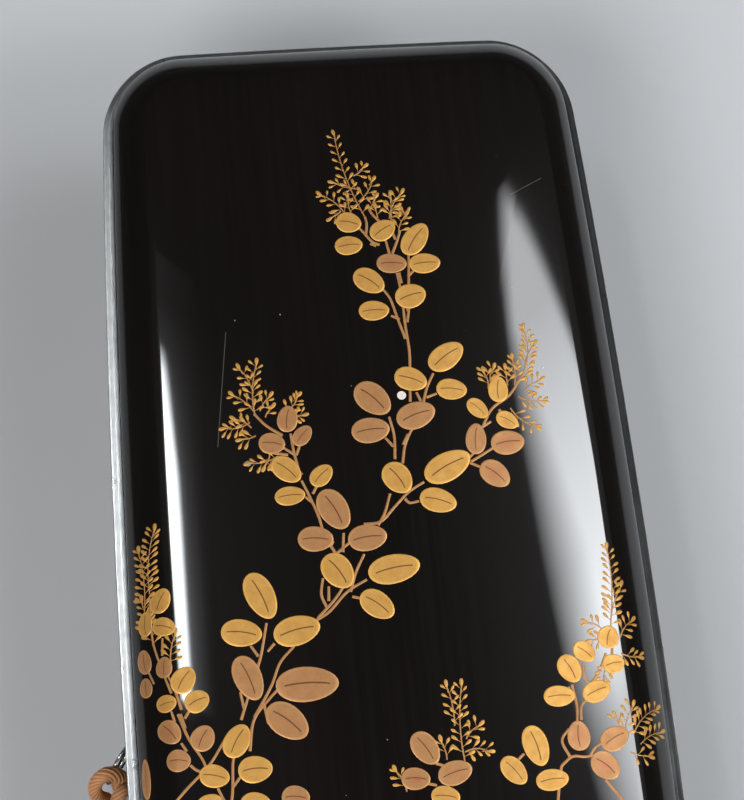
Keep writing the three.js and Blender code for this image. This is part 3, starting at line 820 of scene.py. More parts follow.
def outline(inset, corner_steps=16, side_steps=40, end_steps=20):
    """Plan of the box at one inset from the rim, as in the part's source."""
    radius = CORNER_RADIUS - inset
    x = WIDTH / 2 - inset - radius
    y = LENGTH / 2 - inset - radius
    arcs = []
    for corner, (cx, cy) in enumerate(((x, y), (-x, y), (-x, -y), (x, -y))):
        angles = (corner + np.linspace(0, 1, corner_steps + 1)) * math.pi / 2
        arcs.append(np.stack([cx + radius * np.cos(angles), cy + radius * np.sin(angles)], 1))
    loop = []
    for corner, arc in enumerate(arcs):
        steps = side_steps if corner % 2 else end_steps
        following = arcs[(corner + 1) % 4][0]
        loop.append(arc)
        loop.append(arc[-1] + (following - arc[-1]) * (np.arange(1, steps) / steps)[:, None])
    flat = np.concatenate(loop)
    across, along = flat[:, 0] / (WIDTH / 2), flat[:, 1] / (LENGTH / 2)
    return flat - np.stack([across * SIDE_BOW * along ** 2, along * END_BOW * across ** 2], 1)


def ring_at(inset, height):
    flat = outline(inset)
    return np.column_stack([flat, np.full(len(flat), height)])


def dome(flat):
    across, along = flat[:, 0] / (WIDTH / 2), flat[:, 1] / (LENGTH / 2)
    return DOME_RISE * (1 - across ** 2) * (1 - along ** 2)


def loft(name, rings, material, tips=None, closed=False, sharp_degrees=38):
    """A skin through equal rings, closed into itself or by a fan about a tip at each end."""
    count = len(rings[0])
    vertices = list(np.concatenate(rings))
    faces = []
    for row in range(len(rings) if closed else len(rings) - 1):
        here, there = row * count, (row + 1) % len(rings) * count
        for i in range(count):
            j = (i + 1) % count
            faces.append((here + i, here + j, there + j, there + i))
    if not closed:
        tips = tips or [rings[0].mean(0), rings[-1].mean(0)]
        first, last = len(vertices), (len(rings) - 1) * count
        vertices += list(tips)
        for i in range(count):
            j = (i + 1) % count
            faces += [(first, j, i), (first + 1, last + i, last + j)]
    return mesh_piece(name, vertices, faces, material, sharp_degrees)


def lid_skin(depth, shoulder_steps, dome_steps):
    drop = depth * math.tan((math.pi / 2 - SHOULDER_PITCH) / 2)
    inboard = depth * math.tan(SHOULDER_PITCH / 2)
    inset = LID_WALL_INSET + depth
    width = SHOULDER_WIDTH - depth + inboard
    rise = SHOULDER_RISE - depth + drop
    power = 2 / SHOULDER_FULLNESS
    rings = [ring_at(inset, SEAM_HEIGHT)]
    for i in range(shoulder_steps + 1):
        angle = i / shoulder_steps * math.pi / 2
        flat = outline(inset + width * (1 - math.cos(angle) ** power))
        height = FOOT_TOP - drop + rise * math.sin(angle) ** power
        rings.append(np.column_stack([flat, height + dome(flat)]))
    top = outline(inset + width)
    for i in range(1, dome_steps):
        flat = top * (1 - i / dome_steps)
        rings.append(np.column_stack([flat, FOOT_TOP - drop + rise + dome(flat)]))
    return rings


def make_lid():
    crest = FOOT_TOP + SHOULDER_RISE + DOME_RISE
    tips = [np.array((0, 0, crest - LID_WALL)), np.array((0, 0, crest))]
    rings = lid_skin(LID_WALL, 9, 12)[::-1] + lid_skin(0, 22, 30)
    return loft("lacquer_lid", rings, LACQUER, tips)


def make_body():
    rings = []
    quarter = [i / 8 * math.pi / 2 for i in range(9)]
    for angle in quarter:
        rings.append(ring_at(BODY_WALL_INSET + BASE_EDGE_RADIUS * (1 - math.sin(angle)),
                             BASE_EDGE_RADIUS * (1 - math.cos(angle))))
    rings += [ring_at(BODY_WALL_INSET, SEAM_HEIGHT), ring_at(LIP_OUTER_INSET, SEAM_HEIGHT),
              ring_at(LIP_OUTER_INSET, SEAM_HEIGHT + LIP_HEIGHT),
              ring_at(INNER_INSET, SEAM_HEIGHT + LIP_HEIGHT)]
    for angle in quarter:
        rings.append(ring_at(INNER_INSET + FLOOR_FILLET * (1 - math.cos(angle)),
                             FLOOR_THICKNESS + FLOOR_FILLET * (1 - math.sin(angle))))
    return loft("lacquer_tray", rings, LACQUER)


def make_rim(name, outer, inner, direction):
    """Metal band: a narrow flat inside, a sloping facet outside it, and eased edges."""
    far = SEAM_HEIGHT + direction * RIM_HEIGHT
    low = far - direction * RIM_FACET_DROP
    section = [(inner, SEAM_HEIGHT), (outer, SEAM_HEIGHT)]
    for i in range(6):
        angle = i / 5 * math.pi / 2
        section.append((outer + RIM_OUTER_ROUNDING * (1 - math.cos(angle)),
                        low - direction * RIM_OUTER_ROUNDING * (1 - math.sin(angle))))
    section += [(inner - RIM_FLAT - 0.08, far - direction * 0.04), (inner - RIM_FLAT + 0.08, far)]
    for i in range(4):
        angle = i / 3 * math.pi / 2
        section.append((inner - RIM_INNER_ROUNDING * (1 - math.sin(angle)),
                        far - direction * RIM_INNER_ROUNDING * (1 - math.cos(angle))))
    rings = [ring_at(inset, height) for inset, height in section]
    return loft(name, rings if direction > 0 else rings[::-1], PEWTER, closed=True, sharp_degrees=15)


def on_wire(name, points, radius, closed, spacing=0.25):
    piece = line_piece(name, [points], closed=closed)
    return made_by_nodes(piece, STRAND, {
        "Radius": radius * MM, "Sides": 18, "Ribs": 1.0, "Rib Depth": 0.0, "Pitch": 1.0,
        "Spacing": spacing * MM, "Finish": SILVER})


def make_ring(name, side, lean, heading):
    reach = RING_RADIUS - RING_WIRE - STAPLE_WIRE / math.cos(RING_TURN) - RING_SLACK
    out, drop = reach * math.sin(lean), -reach * math.cos(lean)
    points = []
    for i in range(72):
        angle = 2 * math.pi * i / 72
        x, z = out + RING_RADIUS * math.cos(angle), drop + RING_RADIUS * math.sin(angle)
        points.append((side * (BODY_SIDE + STAPLE_REACH) + x * math.cos(heading), x * math.sin(heading),
                       STAPLE_HEIGHT + z))
    return on_wire(name, points, RING_WIRE, True)


def make_staple(name, side):
    start, reach = BODY_SIDE - 1.2, BODY_SIDE + STAPLE_REACH
    points = [(start, -STAPLE_HALF_WIDTH)]
    for corner, sign in ((-1, -1), (0, 1)):
        for i in range(7):
            angle = (corner + i / 6) * math.pi / 2
            points.append((reach - STAPLE_CORNER * (1 - math.cos(angle)),
                           sign * (STAPLE_HALF_WIDTH - STAPLE_CORNER) + STAPLE_CORNER * math.sin(angle)))
    points.append((start, STAPLE_HALF_WIDTH))
    return on_wire(name, [(side * x, y, STAPLE_HEIGHT) for x, y in points], STAPLE_WIRE, False)


def make_rosette(name, side, petals=16):
    """Petalled washer behind the staple."""
    around = petals * 6
    rows = [(ROSETTE_HOLE, 0.0), (ROSETTE_RADIUS, 0.0), (ROSETTE_RADIUS, 0.35),
            (0.93 * ROSETTE_RADIUS, 0.8),
            (0.5 * (ROSETTE_RADIUS + ROSETTE_HOLE), 1.0), (1.04 * ROSETTE_HOLE, 0.85), (ROSETTE_HOLE, 0.5)]
    rings = []
    for reach, high in rows:
        ring = []
        for i in range(around):
            angle = 2 * math.pi * i / around
            groove = abs(math.sin(petals * angle / 2)) ** 0.6
            edge = 1 - 0.03 * (1 - groove) if reach > 1.1 * ROSETTE_HOLE else 1
            lift = high * ROSETTE_THICKNESS * (0.72 + 0.28 * groove)
            ring.append((side * (BODY_SIDE + GLUE + lift), side * edge * reach * math.cos(angle),
                         STAPLE_HEIGHT + edge * reach * math.sin(angle)))
        rings.append(np.array(ring))
    return loft(name, rings[::-1], PEWTER, closed=True)


def finish_part(piece, node):
    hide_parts(node)
    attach(piece, "root")
    return piece


lid = finish_part(make_lid(), "lid")
finish_part(make_body(), "body")
finish_part(make_rim("lid_band", 0, RIM_WIDTH, 1), "lid_rim")
finish_part(make_rim("tray_band", BODY_RIM_INSET, BODY_WALL_INSET - GLUE, -1), "body_rim")
for side_name, side, heading in (("left", -1, math.pi + RING_TURN), ("right", 1, -RING_TURN)):
    finish_part(make_rosette(f"{side_name}_petals", side), f"{side_name}_rosette")
    finish_part(make_staple(f"{side_name}_loop", side), f"{side_name}_staple")
    finish_part(make_ring(f"{side_name}_hoop", side, RING_LEANS[side_name], heading), f"{side_name}_ring")


# Bush clover sprays in gold

# Leaves in plan, in mm: x, y, half length, half width, turn in degrees, tone. Tone "g" is gold with
# a midrib, "p" plain gold, "r" rose gold with a midrib, and "w" rose gold rubbed to its red ground.
LEAF_TABLE = """
-1.5 84.1 2.2 1.9 -15 g; -1.9 79.8 2.4 1.75 4 g; 4.2 82.3 2.4 1.85 32 g; 9.6 80.3 3.4 2.0 54 p
5.1 76.0 2.6 1.8 -4 w; 10.8 75.7 2.7 1.85 3 p; 0.9 73.0 2.9 2.1 -38 g; 7.7 69.8 2.7 2.2 16 g
1.2 67.5 2.6 1.8 0 g; 12.5 58.5 3.5 2.15 34 g; 6.1 54.8 2.8 2.05 -22 g; 12.8 52.6 2.6 1.85 -8 g
-0.6 51.8 3.5 2.5 -46 r; 6.3 48.4 3.4 2.3 18 r; -1.5 46.3 3.2 2.2 4 r; 2.1 37.8 2.9 2.3 -58 g
10.6 39.2 4.3 2.4 26 g; 8.4 33.5 3.1 2.05 -18 g; 20.7 52.2 2.3 1.7 84 g; 16.8 49.0 2.1 1.45 -48 g
21.6 46.7 2.0 1.45 -32 g; 15.9 43.7 2.7 1.75 82 r; 21.2 42.8 2.9 2.1 6 w; 18.4 37.5 2.8 2.1 -42 w
-15 49.4 2.3 1.7 80 r; -12.8 46.3 2.0 1.4 48 w; -17.9 45.4 2.2 1.8 -12 r; -15.9 40.7 2.8 1.9 -44 g
-10.3 39.2 2.2 1.6 42 g; -15.7 36.2 2.5 1.6 2 g; -8.8 33.3 3.7 2.4 -64 r; -12.2 28.6 2.9 2.1 -6 r
-3.8 28.1 3.2 2.2 4 r; -9.1 23.0 3.2 2.4 -58 g; 0.0 22.6 4.3 2.4 8 g; -3.3 17.0 3.1 2.1 -40 g
-21.8 20.1 4.1 2.3 -68 g; -25.3 14.4 3.3 2.2 -12 g; -16.5 13.9 3.8 2.4 10 g; -24.8 7.1 3.8 2.2 -70 r
-15.6 5.2 5.0 2.8 -2 r; -19.2 -0.3 3.8 2.5 -42 r; -27.3 -2.6 2.8 2.0 58 g; -24.8 -7.3 2.7 2.1 0 g
-31.2 -7.7 2.4 1.8 -16 g; -18.9 -12.2 2.2 1.8 -8 r; -25.2 -12.6 2.4 1.8 -6 g; -32.4 -11.9 2.1 1.5 20 g
-37.8 21.1 2.1 1.6 62 p; -40.5 17.8 2.0 1.1 88 g; -37.5 16.8 1.9 1.5 -20 p; -41.0 11.8 2.0 1.1 96 r
-37.9 10.3 1.7 1.3 84 r; -35.0 7.9 2.3 1.9 54 p; -41.0 7.6 1.6 1.0 92 r; -37.9 4.5 1.6 1.4 8 g
-33.1 4.3 2.0 1.8 20 g; -37.7 -0.1 2.1 1.7 -52 w; -32.6 -1.6 2.1 1.9 60 r; -36.6 -4.7 1.9 1.75 -8 r
-41.9 -6.7 3.2 0.7 90 r; 26.8 4.4 2.4 1.9 -64 g; 29.6 7.0 2.0 1.6 -40 p; 24.5 0.1 2.6 1.7 0 g
30.8 0.5 2.5 1.7 20 g; 34.0 9.2 1.9 1.8 70 p; 34.3 4.8 1.9 1.6 10 p; 19.7 -7.5 3.3 2.05 -76 g
26.9 -6.4 2.4 1.9 88 w; 32.8 -7.2 2.6 1.9 26 r; 15.7 -11.1 2.6 1.75 -52 g; 30.7 -11.4 2.6 2.1 -42 w
21.7 -13.0 2.7 1.7 4 g; 2.0 -6.5 2.9 2.0 -58 r; 6.3 -10.7 2.8 1.9 14 r; 0.0 -11.1 2.3 1.75 -6 w
4.4 -14.2 2.3 1.6 -10 g
"""
# Leaves beyond the photograph's edge, in keeping with the rest
HIDDEN_LEAF_TABLE = """
-36.6 -19.5 3.0 2.0 70 g; -31.6 -21.5 3.1 2.1 24 g; -38.2 -25.0 2.6 1.7 -64 r; -24.4 -24.0 3.6 2.3 -40 g
-20.8 -18.4 3.0 2.0 18 r; -15.6 -25.4 3.6 2.3 30 g; -27.6 -33.6 3.6 2.3 62 r; -19.4 -34.6 3.9 2.4 8 g
-23.4 -41.0 3.0 2.0 -38 g; -4.8 -20.6 2.6 1.8 20 g; 1.2 -22.6 2.7 1.8 -34 g; 6.8 -20.2 2.8 1.9 40 r
-1.2 -29.4 3.2 2.1 64 g; 7.4 -30.2 3.3 2.2 12 r; 3.4 -36.6 2.9 2.0 -36 g; 15.8 -20.8 2.9 1.9 -66 g
24.6 -21.8 3.2 2.1 14 g; 20.0 -27.4 3.0 2.0 -30 r; 30.6 -24.2 2.7 1.8 60 g; 36.0 -20.4 2.3 1.7 24 r
34.0 -31.2 2.9 2.0 -36 g; 25.4 -36.8 3.4 2.2 48 g; 16.4 -40.0 3.4 2.2 6 r; -9.6 -46.4 3.8 2.4 54 g
-16.8 -50.6 3.4 2.2 -20 r; -5.6 -55.4 3.6 2.3 2 g; 10.2 -51.6 3.6 2.3 34 g; 4.6 -60.6 3.2 2.1 -46 r
15.6 -61.8 3.4 2.2 12 g; -13.4 -66.4 3.2 2.1 40 g; -4.0 -72.0 3.4 2.2 -28 g; 7.8 -74.2 3.2 2.1 58 r
"""
# Flower spikes in plan, in mm: foot x y, tip x y, bend, pairs of buds
SPIKE_TABLE = """
1.4 85.0 -2.4 101.2 0.7 10; 0.6 88.0 3.4 91.9 -0.4 3; 1.0 90.4 -3.4 91.9 0.3 3; 2.2 86.4 3.6 88.6 -0.2 2
0.2 93.0 2.2 94.6 -0.2 2; -1.8 85.6 -5.8 89.7 -0.5 4; -0.8 85.6 -1.2 88.9 0.2 2; -2.6 86.4 -4.4 85.2 0.1 1
5.6 84.4 8.2 89.2 0.5 5; 5.8 83.8 6.2 88.8 -0.1 3; 6.9 81.4 8.6 85.0 0.4 3; 3.6 84.6 3.4 86.6 0 1
9.0 84.2 8.0 86.0 0.2 1; -20.3 50.6 -19.3 59.6 0.5 7; -20.2 54.4 -22.2 59.0 -0.3 3
-19.4 51.2 -17.6 53.6 0.2 2; -20.2 50.8 -23.6 54.4 -0.4 3; -21.2 49.4 -25.4 48.8 0.5 4
-21.0 48.4 -23.6 50.2 -0.3 2; -20.4 47.0 -22.8 46.6 0.2 2; -15.6 50.6 -13.0 53.2 -0.5 4
-14.4 49.4 -12.4 49.8 0.2 2; -18.6 50.0 -17.4 51.6 0.2 1; -17.0 43.2 -21.8 42.4 0.5 3
-18.4 43.6 -19.4 41.6 0.2 1; 24.8 54.0 26.4 63.0 -1.0 9; 23.6 52.8 23.8 57.6 -0.3 4
25.8 55.6 28.0 60.0 0.5 3; 25.0 51.6 28.2 53.6 0.3 3; 24.0 50.8 28.2 49.8 -0.4 4
22.4 48.8 26.4 45.4 -0.6 4; 19.6 53.8 20.4 56.0 0.3 2; 19.0 52.4 18.6 55.4 -0.3 3; 22.4 52.8 22.4 55.8 0 2
-39.4 22.6 -38.0 33.0 0.6 10; -40.4 20.0 -40.8 30.0 -0.4 8; -40.4 15.6 -40.8 21.8 -0.3 5
-36.8 10.6 -35.8 15.4 0.3 4; -39.4 14.0 -39.8 19.0 0 4; 34.8 12.0 35.8 24.0 -0.5 10
34.6 10.6 37.4 17.6 0.5 5; 33.2 10.4 30.6 11.8 -0.3 2; 33.4 9.4 31.0 8.8 0.2 2; 36.0 9.0 38.6 11.8 0.4 3
35.8 6.4 39.0 5.8 -0.3 3; 33.6 4.6 32.2 2.0 -0.4 3; 34.6 -7.0 36.6 -2.2 0.4 4; 36.0 -6.8 41.2 -2.6 0.7 6
33.8 -5.0 33.4 -3.8 0 1; 37.0 -8.4 41.4 -6.4 0.4 4; 35.2 -9.6 38.4 -10.4 -0.2 2; 8.0 -9.0 8.8 3.0 0.5 8
7.0 -3.4 6.4 3.0 -0.3 4; 8.2 -7.6 12.0 -7.8 0.5 3; 8.6 -5.6 11.0 -3.6 0.3 2; 5.2 -8.6 4.6 -5.6 -0.2 2
-1.6 -13.0 -3.0 -9.6 -0.3 3; -39.0 -30.0 -40.6 -41.0 0.5 8; 37.4 -27.0 39.4 -38.0 -0.5 8
-24.0 -47.0 -28.6 -57.0 0.8 7; 24.0 -45.0 28.6 -55.0 -0.8 7; -8.0 -79.0 -12.0 -89.0 0.7 7
12.0 -80.0 16.0 -90.0 -0.7 7
"""
# Stems in plan, in mm: points from root to tip
STEM_TABLE = """
-38.6 -12.2, -35.6 -9.2, -31.8 -5.8, -28.9 -1.8; -26.4 0.6, -24.9 4.4; -23.4 8.0, -22.4 10.8, -21.2 15.6
-25.4 -4.4, -24.4 0.4, -21.6 3.6, -20.0 5.0; -24.3 0.8, -21.3 5.4, -19.6 9.0, -17.2 11.4
-22.9 10.4, -24.0 12.2; -20.2 12.2, -21.4 11.0; -29.4 -14.0, -28.6 -10.6, -28.2 -6.0, -27.8 -4.6
-28.4 -9.6, -27.0 -8.0; -29.6 -12.6, -30.8 -9.6; -27.2 -14.0, -26.6 -12.4; -22.6 2.6, -22.2 -0.4
-25.8 2.4, -26.2 5.0; -14.4 14.8, -11.2 16.4, -8.0 19.4, -4.6 21.2; -13.0 15.6, -10.2 18.2, -8.4 20.4
-11.4 17.2, -12.1 19.4, -11.6 22.0; -11.0 18.2, -10.8 20.6; -7.2 18.6, -5.8 18.2
-7.4 19.4, -6.2 22.6, -4.6 25.4; -9.0 25.6, -10.6 28.8, -11.4 32.4, -12.6 36.0, -13.6 38.6
-8.0 26.0, -7.6 29.2; -8.9 26.0, -6.7 27.6; -9.9 27.2, -9.4 28.0; -12.2 34.8, -13.2 35.8
-12.0 36.2, -11.0 37.8; -13.8 39.8, -14.4 43.4, -14.7 46.8; -14.4 43.2, -16.2 44.6; -14.1 43.0, -13.3 44.8
-13.4 39.6, -14.0 40.4; -15.4 43.2, -18.4 43.9; -16.0 46.6, -18.6 48.6, -20.4 50.8
-4.2 30.4, -1.4 30.6, 1.0 32.8, 3.6 35.2, 6.4 36.8; -1.9 30.0, -0.6 32.0, 0.6 35.2
3.0 34.2, 3.6 33.4, 5.2 33.6; 3.2 40.2, 3.9 43.2, 5.2 45.8, 5.8 46.4; 2.0 41.0, 2.3 45.0, 1.8 48.4
2.0 43.2, 0.8 44.8; 3.6 43.4, 4.6 45.2; 7.8 50.6, 8.6 53.0, 10.0 55.6; 7.4 50.8, 6.8 52.4
8.4 51.4, 10.2 52.0; 5.6 50.8, 5.8 53.0; 6.2 56.9, 6.4 60.0, 6.2 65.0, 6.2 70.0, 5.8 74.2
6.0 62.0, 5.0 66.0, 4.2 69.4, 3.2 71.2; 5.4 65.6, 4.0 66.4; 6.6 65.0, 7.2 67.6
6.9 67.0, 7.6 72.0, 8.2 77.6; 7.6 73.4, 8.9 74.6; 6.4 72.2, 6.2 74.2; 4.9 77.8, 4.5 80.4
3.4 79.6, 2.2 80.2, 1.2 81.6, 0.2 83.0; 2.8 79.4, 1.8 79.9; 5.4 77.8, 6.4 80.0, 7.2 82.0
1.2 81.6, 1.6 83.6, 1.4 85.0; 3.8 84.0, 2.6 85.6, 2.2 86.8; 6.2 80.4, 5.8 82.2, 5.8 84.0
14.6 39.8, 17.2 41.2, 18.6 42.0; 14.4 39.6, 16.0 38.8, 16.4 38.6; 14.2 40.4, 15.2 41.2
16.4 45.2, 18.8 46.6; 17.2 45.6, 19.2 48.8, 22.4 51.0, 24.8 54.0; 18.4 47.4, 17.6 48.0
20.4 49.6, 20.6 50.2; 20.4 48.6, 21.0 47.8; 26.8 1.8, 27.2 -1.6, 26.9 -4.2
27.6 -4.0, 28.0 -1.6, 29.4 -0.6; 26.4 1.4, 25.6 1.0; 25.0 -9.6, 24.0 -7.0, 25.4 -5.2
23.4 -11.0, 25.4 -9.6, 27.6 -9.8, 30.4 -9.4; 28.2 -9.8, 29.4 -8.4, 30.6 -7.8; 16.6 -9.4, 17.6 -8.6
30.2 2.0, 31.6 3.6, 33.2 6.6; 29.2 5.2, 29.0 3.0, 29.8 1.8; 34.2 6.4, 34.4 7.6
-36.2 2.6, -34.8 -1.4, -33.0 -4.6, -32.4 -6.2; -35.6 3.2, -36.4 6.4, -37.4 9.0; -35.2 1.8, -34.2 3.2
-36.8 1.4, -37.2 3.2; -37.0 6.0, -38.6 11.4, -39.4 15.4, -39.4 22.0; -39.6 8.0, -40.4 10.2
-38.0 12.2, -37.8 15.0; -35.2 -3.4, -36.0 -2.0; -34.8 -5.6, -34.0 -6.4, -33.2 -6.8; -35.2 0.2, -35.8 2.6
-34.6 -1.6, -34.2 -1.2; 5.0 -12.4, 6.0 -12.2, 7.2 -9.6; 3.4 -9.0, 5.0 -9.6; 1.8 -12.0, 3.2 -12.4
-38.6 -12.2, -39.4 -16.0, -38.0 -22.0, -33.0 -29.0, -27.0 -37.0, -20.0 -45.0; -37.6 -17.4, -34.4 -19.6
-38.6 -19.6, -38.6 -23.0; -29.4 -14.0, -28.0 -20.0, -25.0 -29.0, -22.4 -36.0; -27.0 -22.4, -25.8 -23.0
-27.4 -20.4, -23.6 -18.8; -21.6 -30.0, -17.4 -27.0; -24.6 -32.0, -26.0 -32.6; -22.2 -36.6, -21.4 -35.4
-22.8 -37.4, -23.4 -39.2; -20.0 -45.0, -14.0 -53.0, -7.0 -62.0, -2.0 -80.0
5.0 -12.4, 3.8 -18.0, 3.2 -26.0, 3.6 -33.0, 2.6 -44.0, 1.0 -60.0, -1.0 -88.0; 3.2 -19.8, 4.6 -20.8
2.6 -25.0, -2.0 -21.6; 3.4 -27.8, 5.0 -29.4; 3.2 -30.6, 0.6 -30.0
23.4 -11.0, 22.0 -18.0, 22.6 -26.0, 20.6 -36.0, 13.0 -50.0, 5.0 -66.0; 22.4 -19.6, 17.4 -19.8
22.2 -23.0, 22.8 -22.6; 30.4 -13.6, 33.4 -18.6, 33.6 -26.0, 28.0 -40.0, 18.0 -54.0; 32.6 -17.0, 34.4 -19.4
33.6 -24.0, 32.6 -25.0; 33.2 -28.4, 33.6 -29.6; 27.0 -41.6, 26.6 -39.4; -8.0 -60.6, -8.2 -56.0
-10.8 -57.4, -13.8 -52.4; 1.8 -52.0, 6.8 -52.4; 0.8 -62.6, 2.4 -62.0; -3.6 -71.6, -5.0 -70.0
1.2 -72.0, 5.4 -75.4; -7.0 -62.0, -11.0 -65.2; -39.0 -23.0, -39.0 -30.0; 35.0 -22.0, 37.4 -27.0
-22.0 -42.6, -24.0 -47.0; 26.0 -43.0, 24.0 -45.0; -2.6 -76.0, -8.0 -79.0; 2.0 -72.0, 8.0 -76.4, 12.0 -80.0
"""
LEAF_HEIGHTS = ((1.0, -0.14), (1.0, 0.05), (0.95, 0.115), (0.86, 0.1), (0.55, 0.112))
LEAF_SIDES = 26
BUD_STALK = 2.1
BUD_OUTLINE = ((-BUD_STALK, 0.05), (-1.35, 0.07), (-0.9, 0.14), (-0.45, 0.36), (0.0, 0.5), (0.45, 0.52),
               (0.8, 0.36), (0.97, 0.15))
STEM_RADIUS = 0.24
STEM_FLATNESS = (1, 0.28, 1)
# All the sprays are set over by this much from the places in the tables
SPRAY_SHIFT = (0.05, -0.42)


def shifted(x, y):
    return x + SPRAY_SHIFT[0], y + SPRAY_SHIFT[1], 0


def rows_of(table):
    text = table.replace("\n", ";")
    return [row.split() for row in text.split(";") if row.strip()]


def unit_shape(name, sides, heights, edge):
    """A flat relief of unit size: rings towards the middle at given heights, closed below."""
    vertices, faces = [], []
    for share, height in heights:
        for i in range(sides):
            x, y = edge(i)
            vertices.append((share * x / MM, share * y / MM, height))
    for k in range(len(heights) - 1):
        for i in range(sides):
            j = (i + 1) % sides
            faces.append((k * sides + i, k * sides + j, (k + 1) * sides + j, (k + 1) * sides + i))
    last = (len(heights) - 1) * sides
    low, high = len(vertices), len(vertices) + 1
    vertices += [(0, 0, heights[0][1]), (0, 0, heights[-1][1])]
    for i in range(sides):
        j = (i + 1) % sides
        faces += [(low, j, i), (high, last + i, last + j)]
    piece = mesh_piece(name, vertices, faces, GOLD, 60)
    mark = piece.data.attributes.new("leaf_place", "FLOAT_VECTOR", "POINT")
    for i, vertex in enumerate(piece.data.vertices):
        mark.data[i].vector = (vertex.co.x, vertex.co.y, 1)
    return piece


def leaf_edge(i):
    """Outline of a clover leaf: an oval a little fuller towards its foot."""
    angle = 2 * math.pi * i / LEAF_SIDES
    return math.cos(angle), math.sin(angle) * (1 - 0.10 * math.cos(angle))


def bud_edge(i):
    """Outline of a bud: a drop on a fine stalk, up one side and down the other."""
    count = len(BUD_OUTLINE)
    x, y = BUD_OUTLINE[i] if i < count else BUD_OUTLINE[2 * count - 1 - i]
    return (x, -y) if i < count else (x, y)


def lay_shapes(name, shape, spots, material):
    """spots: x, y, half length, half width, turn, rubbed share."""
    mesh = bpy.data.meshes.new(name)
    mesh.from_pydata([tuple(v * MM for v in shifted(x, y)) for x, y, *_ in spots], [], [])
    for title, kind in (("turn", "FLOAT"), ("size", "FLOAT_VECTOR"), ("leaf_tone", "FLOAT")):
        mesh.attributes.new(title, kind, "POINT")
    for i, (_, _, long, wide, angle, rubbed) in enumerate(spots):
        mesh.attributes["turn"].data[i].value = math.radians(angle)
        mesh.attributes["size"].data[i].vector = (long * MM, wide * MM, 1)
        mesh.attributes["leaf_tone"].data[i].value = rubbed
    piece = bpy.data.objects.new(name, mesh)
    bpy.context.scene.collection.objects.link(piece)
    made = made_by_nodes(piece, LEAVES, {"Shape": shape, "Ground": lid, "Finish": material})
    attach(made, "root")
    return made


def make_leaves():
    shape = unit_shape("unit_leaf", LEAF_SIDES, LEAF_HEIGHTS, leaf_edge)
    spots = {"gold": [], "rose": []}
    for x, y, long, wide, turn, tone in rows_of(LEAF_TABLE) + rows_of(HIDDEN_LEAF_TABLE):
        metal = "gold" if tone in "gp" else "rose"
        rubbed = {"g": 0.15, "p": 0.0, "r": 0.3, "w": 1.0}[tone]
        spots[metal].append((float(x), float(y), float(long), float(wide), float(turn), rubbed))
    lay_shapes("gold_leaves", shape, spots["gold"], GOLD)
    lay_shapes("rose_leaves", shape, spots["rose"], ROSE_GOLD)
    bpy.data.objects.remove(shape)


def make_spikes():
    """Spikes of buds: a thin curved stalk with pairs of drops that grow smaller to the tip."""
    draw = random.Random(7)
    spots, stalks = [], []
    for row in rows_of(SPIKE_TABLE):
        x0, y0, x1, y1, bend, pairs = (float(v) for v in row)
        pairs = int(pairs)
        run = np.array((x1 - x0, y1 - y0))
        across = np.array((-run[1], run[0])) / np.linalg.norm(run)
        line = [np.array((x0, y0)) + run * t + across * bend * 4 * t * (1 - t) for t in np.linspace(0, 1,
                                                                                                    9)]
        stalks.append([(*p, 0) for p in line])
        heading = math.degrees(math.atan2(run[1], run[0]))
        for k in range(pairs):
            share = (k + 0.7) / (pairs + 0.4)
            place = np.array((x0, y0)) + run * share + across * bend * 4 * share * (1 - share)
            long = 0.69 - 0.2 * share + draw.uniform(-0.06, 0.06)
            for sign in (-1, 1):
                turn = heading + sign * (58 - 14 * share + draw.uniform(-7, 7))
                slide = 0.32 * sign + draw.uniform(-0.1, 0.1)
                foot = place + run / np.linalg.norm(run) * slide
                reach = BUD_STALK * long
                at = foot + reach * np.array((math.cos(math.radians(turn)), math.sin(math.radians(turn))))
                spots.append((*at, long, 0.8 * long, turn, 0.1))
        tip = line[-1] + run / np.linalg.norm(run) * 0.35
        spots.append((*tip, 0.72, 0.62, heading, 0.1))
    shape = unit_shape("unit_bud", 2 * len(BUD_OUTLINE), ((1.0, -0.12), (1.0, 0.02), (0.8, 0.07)), bud_edge)
    for i in range(len(shape.data.vertices)):
        shape.data.attributes["leaf_place"].data[i].vector = (0, 0, 0)
    lay_shapes("gold_buds", shape, spots, GOLD)
    bpy.data.objects.remove(shape)
    return stalks


def make_stems(stalks):
    lines, radii = [], []
    for stem in STEM_TABLE.replace("\n", ";").split(";"):
        if stem.strip():
            points = [shifted(*(float(v) for v in p.split())) for p in stem.split(",")]
            lines.append(smooth_route(points, 0.6))
            radii.append(np.linspace(1.08, 0.92, len(lines[-1])))
    for stalk in stalks:
        lines.append(smooth_route([shifted(x, y) for x, y, _ in stalk], 0.5))
        radii.append(np.linspace(0.55, 0.38, len(lines[-1])))
    piece = line_piece("gold_stems", lines, radii)
    made = made_by_nodes(piece, STEMS, {"Ground": lid, "Radius": STEM_RADIUS * MM,
                                        "Flatness": STEM_FLATNESS,
                                        "Spacing": 0.5 * MM, "Finish": ROSE_GOLD})
    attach(made, "root")


make_leaves()
make_stems(make_spikes())


# Floor and lights

FLOOR_HALF_SIZE = 3.0


